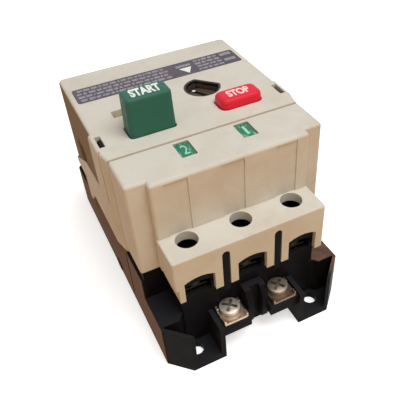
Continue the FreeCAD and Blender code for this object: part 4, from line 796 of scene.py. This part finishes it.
def ruled_bars(draw, x, y, pitch):
    """One row of short bars of uneven length between two ends."""
    bars = []
    start = x[0] + draw.uniform(*BAR_INDENT)
    while start < x[1] - BAR_LEAST:
        end = min(start + draw.uniform(*BAR_LENGTH), x[1])
        half = draw.uniform(*BAR_HALF) * pitch
        bars.append(patch((start, end), (y - half, y + half)))
        start = end + draw.uniform(*BAR_GAP)
    return bars


def label_print(materials):
    """Plain ruled bars, a pointer and three bold bars on the label strip, with no lettering."""
    low, high, _ = span_of("label_strip")
    pitch = (high.y - low.y) / (LABEL_ROWS + LABEL_SPARE)
    rows = [low.y + pitch * (row + LABEL_FIRST) for row in range(LABEL_ROWS)]
    draw = random.Random(BAR_SEED)
    bars = []
    for y in rows:
        bars += ruled_bars(draw, (low.x + LABEL_MARGIN, LABEL_GAP_X[0]), y, pitch)
        bars += ruled_bars(draw, (LABEL_GAP_X[1], LABEL_BOLD_X - LABEL_MARGIN), y, pitch)

    tip = rows[0] - POINTER_TIP * pitch
    back = tip + POINTER_LENGTH
    pointer = [(POINTER_X, tip), (POINTER_X + POINTER_HALF, back), (POINTER_X - POINTER_HALF, back)]

    heading_x = [POINTER_X + reach for reach in HEADING_X]
    bold = [patch(heading_x, [rows[2] + share * pitch for share in HEADING_SPAN])]
    for row in (1, 3):
        bold_y = [rows[row] + share * pitch for share in BOLD_SPAN]
        bold.append(patch((LABEL_BOLD_X, high.x - LABEL_BOLD_MARGIN), bold_y))

    for name, outlines, colour in (
        ("label_bars", bars, "bar_ink"),
        ("label_pointer", [pointer], "white_ink"),
        ("label_bold", bold, "bar_ink"),
    ):
        place_mesh(prints(name, outlines, high.z), "case", materials[colour])


def dial_dot(materials):
    """White dot on the top of the dial."""
    _, high, middle = span_of("adjusting_dial")
    centre = (middle.x + DOT_OFFSET[0], middle.y + DOT_OFFSET[1])
    turns = [2 * math.pi * side / DOT_SIDES for side in range(DOT_SIDES)]
    outline = [on_circle(centre, DOT_RADIUS, turn) for turn in turns]
    mesh = prints("dial_dot", [outline], high.z)
    place_mesh(mesh, "dial", materials["white_ink"])


def window_marks(materials):
    """Plain numerals on the auxiliary contact tabs that show in the windows."""
    for side, text, width in WINDOW_NUMERALS:
        _, high, middle = span_of("aux_block_" + side)
        spot = (middle.x, WINDOW_Y, high.z + INK / 2)
        mesh = lettering("window_mark_" + side, text, spot, (width, MARK_HEIGHT), 0.0)
        place_mesh(mesh, "case", materials["mark_ink"])


def recess_darkening(materials):
    """Darker patch on the floor of the recess behind the tall button."""
    x = (RECESS_X[0] + RECESS_BORDER, RECESS_X[1] - RECESS_BORDER)
    y = (RECESS_Y[0] + RECESS_BORDER, RECESS_Y[1] - RECESS_BORDER)
    mesh = prints("recess_darkening", [patch(x, y)], RECESS_FLOOR)
    place_mesh(mesh, "case", materials["stain"])


# Barrier ends, arch rims and springs

def barrier_tongues(materials):
    """Round-headed ends of the pole barriers, just behind the faces of the terminal hoods."""
    centre = TONGUE_Z[1] - TONGUE_HALF
    outlines = []
    for x in (-TONGUE_X, TONGUE_X):
        outline = [(x - TONGUE_HALF, TONGUE_Z[0]), (x + TONGUE_HALF, TONGUE_Z[0])]
        for step in range(ARC_STEPS + 1):
            outline.append(on_circle((x, centre), TONGUE_HALF, math.pi * step / ARC_STEPS))
        outlines.append(outline)
    mesh = slabs("barrier_tongues", outlines, TONGUE_Y, TONGUE_ROUND)
    place_mesh(mesh, "case", materials["black_plastic"])


def arch_rims(materials):
    """Rims of the inner wire arches, each with a shallow arc below."""
    outlines = []
    for x in RIM_X:
        outline = [(x + RIM_HALF, RIM_TOP), (x - RIM_HALF, RIM_TOP)]
        for step in range(ARC_STEPS + 1):
            share = 2 * step / ARC_STEPS - 1
            outline.append((x + RIM_HALF * share, RIM_SPRING + RIM_RISE * (1 - share**2)))
        outlines.append(outline)
    mesh = slabs("arch_rims", outlines, RIM_Y, RIM_ROUND)
    place_mesh(mesh, "case", materials["black_plastic"])


def coil(shape, x, y, z):
    """Open coil of round wire about a vertical axis, with its wire between two heights."""
    low, high = z[0] + SPRING_WIRE, z[1] - SPRING_WIRE
    steps = SPRING_TURNS * SPRING_STEPS
    rings = []
    for step in range(steps + 1):
        turn = 2 * math.pi * step / SPRING_STEPS
        height = low + (high - low) * step / steps
        ring = []
        for side in range(SPRING_SIDES):
            angle = 2 * math.pi * side / SPRING_SIDES
            across = on_circle((x, y), SPRING_RADIUS + SPRING_WIRE * math.cos(angle), turn)
            spot = (*across, height + SPRING_WIRE * math.sin(angle))
            ring.append(shape.verts.new(Vector(spot) * MM))
        rings.append(ring)
    for ring, after in zip(rings, rings[1:]):
        for side in range(SPRING_SIDES):
            beside = (side + 1) % SPRING_SIDES
            corners = (ring[side], ring[beside], after[beside], after[side])
            shape.faces.new(corners).smooth = True
    shape.faces.new(rings[0])
    shape.faces.new(list(reversed(rings[-1])))


def opening_coils(materials):
    """Springs under the contact carrier, as fixed coils on the case."""
    low, high, middle = span_of("opening_springs")
    shape = bmesh.new()
    for x in (-SPRING_X, SPRING_X):
        coil(shape, x, middle.y, (low.z, high.z))
    mesh = finished(shape, "opening_coils")
    coils = place_mesh(mesh, "case", materials["spring_steel"])
    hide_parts("opening_springs")
    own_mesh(coils)


# Stage

def seen_directly(tree):
    """One for rays from the camera, off gloss or through glass."""
    path = add(tree, "ShaderNodeLightPath").outputs
    seen = math_node(tree, "MAXIMUM", path["Is Camera Ray"], path["Is Glossy Ray"])
    return math_node(tree, "MAXIMUM", seen, path["Is Transmission Ray"])


def switched(tree, lit, seen):
    """One shader to light by and another to look at."""
    inputs = {0: seen_directly(tree), 1: lit, 2: seen}
    return add(tree, "ShaderNodeMixShader", inputs).outputs[0]


def make_floor():
    """Pale floor that keeps a soft shadow, and gives the part a warm light from below."""
    half = FLOOR_HALF * MM
    mesh = bpy.data.meshes.new("floor")
    corners = [(-half, -half, 0), (half, -half, 0), (half, half, 0), (-half, half, 0)]
    mesh.from_pydata(corners, [], [(0, 1, 2, 3)])
    floor = new_object("floor", mesh)
    floor.location.z = cad_box[0][2] - FLOOR_DROP * MM
    material = bpy.data.materials.new("floor")
    material.use_nodes = True
    tree = material.node_tree
    tree.nodes.clear()
    warm = add(tree, "ShaderNodeBsdfDiffuse", {"Color": shade(FLOOR_WARM)}).outputs[0]
    white = add(tree, "ShaderNodeBsdfDiffuse", {"Color": shade(FLOOR_WHITE)}).outputs[0]
    inputs = {"Color": PURE_WHITE, "Strength": FLOOR_GLOW}
    glow = add(tree, "ShaderNodeEmission", inputs).outputs[0]
    bright = add(tree, "ShaderNodeAddShader", {0: white, 1: glow}).outputs[0]
    add(tree, "ShaderNodeOutputMaterial", {"Surface": switched(tree, warm, bright)})
    floor.data.materials.append(material)


def make_world():
    """White to look at; to light by, a soft sky, warm in front and at the left and dim behind."""
    world = bpy.data.worlds.new("studio")
    bpy.context.scene.world = world
    world.use_nodes = True
    tree = world.node_tree
    tree.nodes.clear()
    parts = split(tree, add(tree, "ShaderNodeTexCoord").outputs["Generated"])
    sky = mixed(tree, spread(tree, parts["Y"], *FRONTWARDS), SKY_BACK, SKY_FRONT)
    sky = mixed(tree, spread(tree, parts["X"], *LEFTWARDS), sky, SKY_LEFT)
    sky = mixed(tree, spread(tree, parts["Z"], *UPWARDS), sky, SKY_TOP)
    light = add(tree, "ShaderNodeBackground", {"Color": sky, "Strength": 1.0}).outputs[0]
    white = add(tree, "ShaderNodeBackground", {"Color": PURE_WHITE, "Strength": 1.0}).outputs[0]
    add(tree, "ShaderNodeOutputWorld", {"Surface": switched(tree, light, white)})


def lamp(name, way, distance, size, watts, colour):
    """Soft square lamp that faces the middle of the part."""
    light = bpy.data.lights.new(name, "AREA")
    light.shape = "SQUARE"
    light.size = size * MM
    light.energy = watts
    light.color = colour
    holder = new_object(name, light)
    outwards = Vector(way).normalized()
    holder.location = Vector((0, 0, LAMP_TARGET_Z * MM)) + outwards * (distance * MM)
    holder.rotation_euler = outwards.to_track_quat("Z", "Y").to_euler()
    holder.visible_camera = False


def make_lights():
    lamp(
        "key", way=(0.16, -0.32, 0.93), distance=900.0, size=550.0,
        watts=5.7, colour=(0.985, 1.0, 0.985),
    )
    lamp(
        "front_fill", way=(-0.3, -0.9, 0.25), distance=600.0, size=400.0,
        watts=0.3, colour=(1.0, 0.76, 0.46),
    )


def make_camera():
    azimuth = math.radians(CAMERA_AZIMUTH)
    elevation = math.radians(CAMERA_ELEVATION)
    forward = Vector((
        -math.sin(azimuth) * math.cos(elevation),
        math.cos(azimuth) * math.cos(elevation),
        -math.sin(elevation),
    ))
    level = Vector((math.cos(azimuth), math.sin(azimuth), 0))
    upright = level.cross(forward)
    roll = math.radians(CAMERA_ROLL)
    right = level * math.cos(roll) + upright * math.sin(roll)
    up = upright * math.cos(roll) - level * math.sin(roll)
    data = bpy.data.cameras.new("camera")
    longest = max(IMAGE_SIZE)
    data.sensor_width = SENSOR_WIDTH
    data.lens = FOCAL_PIXELS * SENSOR_WIDTH / longest
    data.shift_x = (IMAGE_SIZE[0] / 2 - AXIS_PIXEL[0]) / longest
    data.shift_y = (AXIS_PIXEL[1] - IMAGE_SIZE[1] / 2) / longest
    data.clip_start = CLIP_START * MM
    camera = new_object("camera", data)
    turn = Matrix((right, up, -forward)).transposed().to_4x4()
    camera.matrix_world = Matrix.Translation(Vector(CAMERA_PLACE) * MM) @ turn
    bpy.context.scene.camera = camera


materials = make_plastics() | make_metals() | make_inks()
dress_solids(materials)
button_words(materials)
label_print(materials)
dial_dot(materials)
window_marks(materials)
barrier_tongues(materials)
arch_rims(materials)
opening_coils(materials)
recess_darkening(materials)
make_floor()
make_world()
make_lights()
make_camera()
bpy.context.scene.view_settings.view_transform = "Standard"
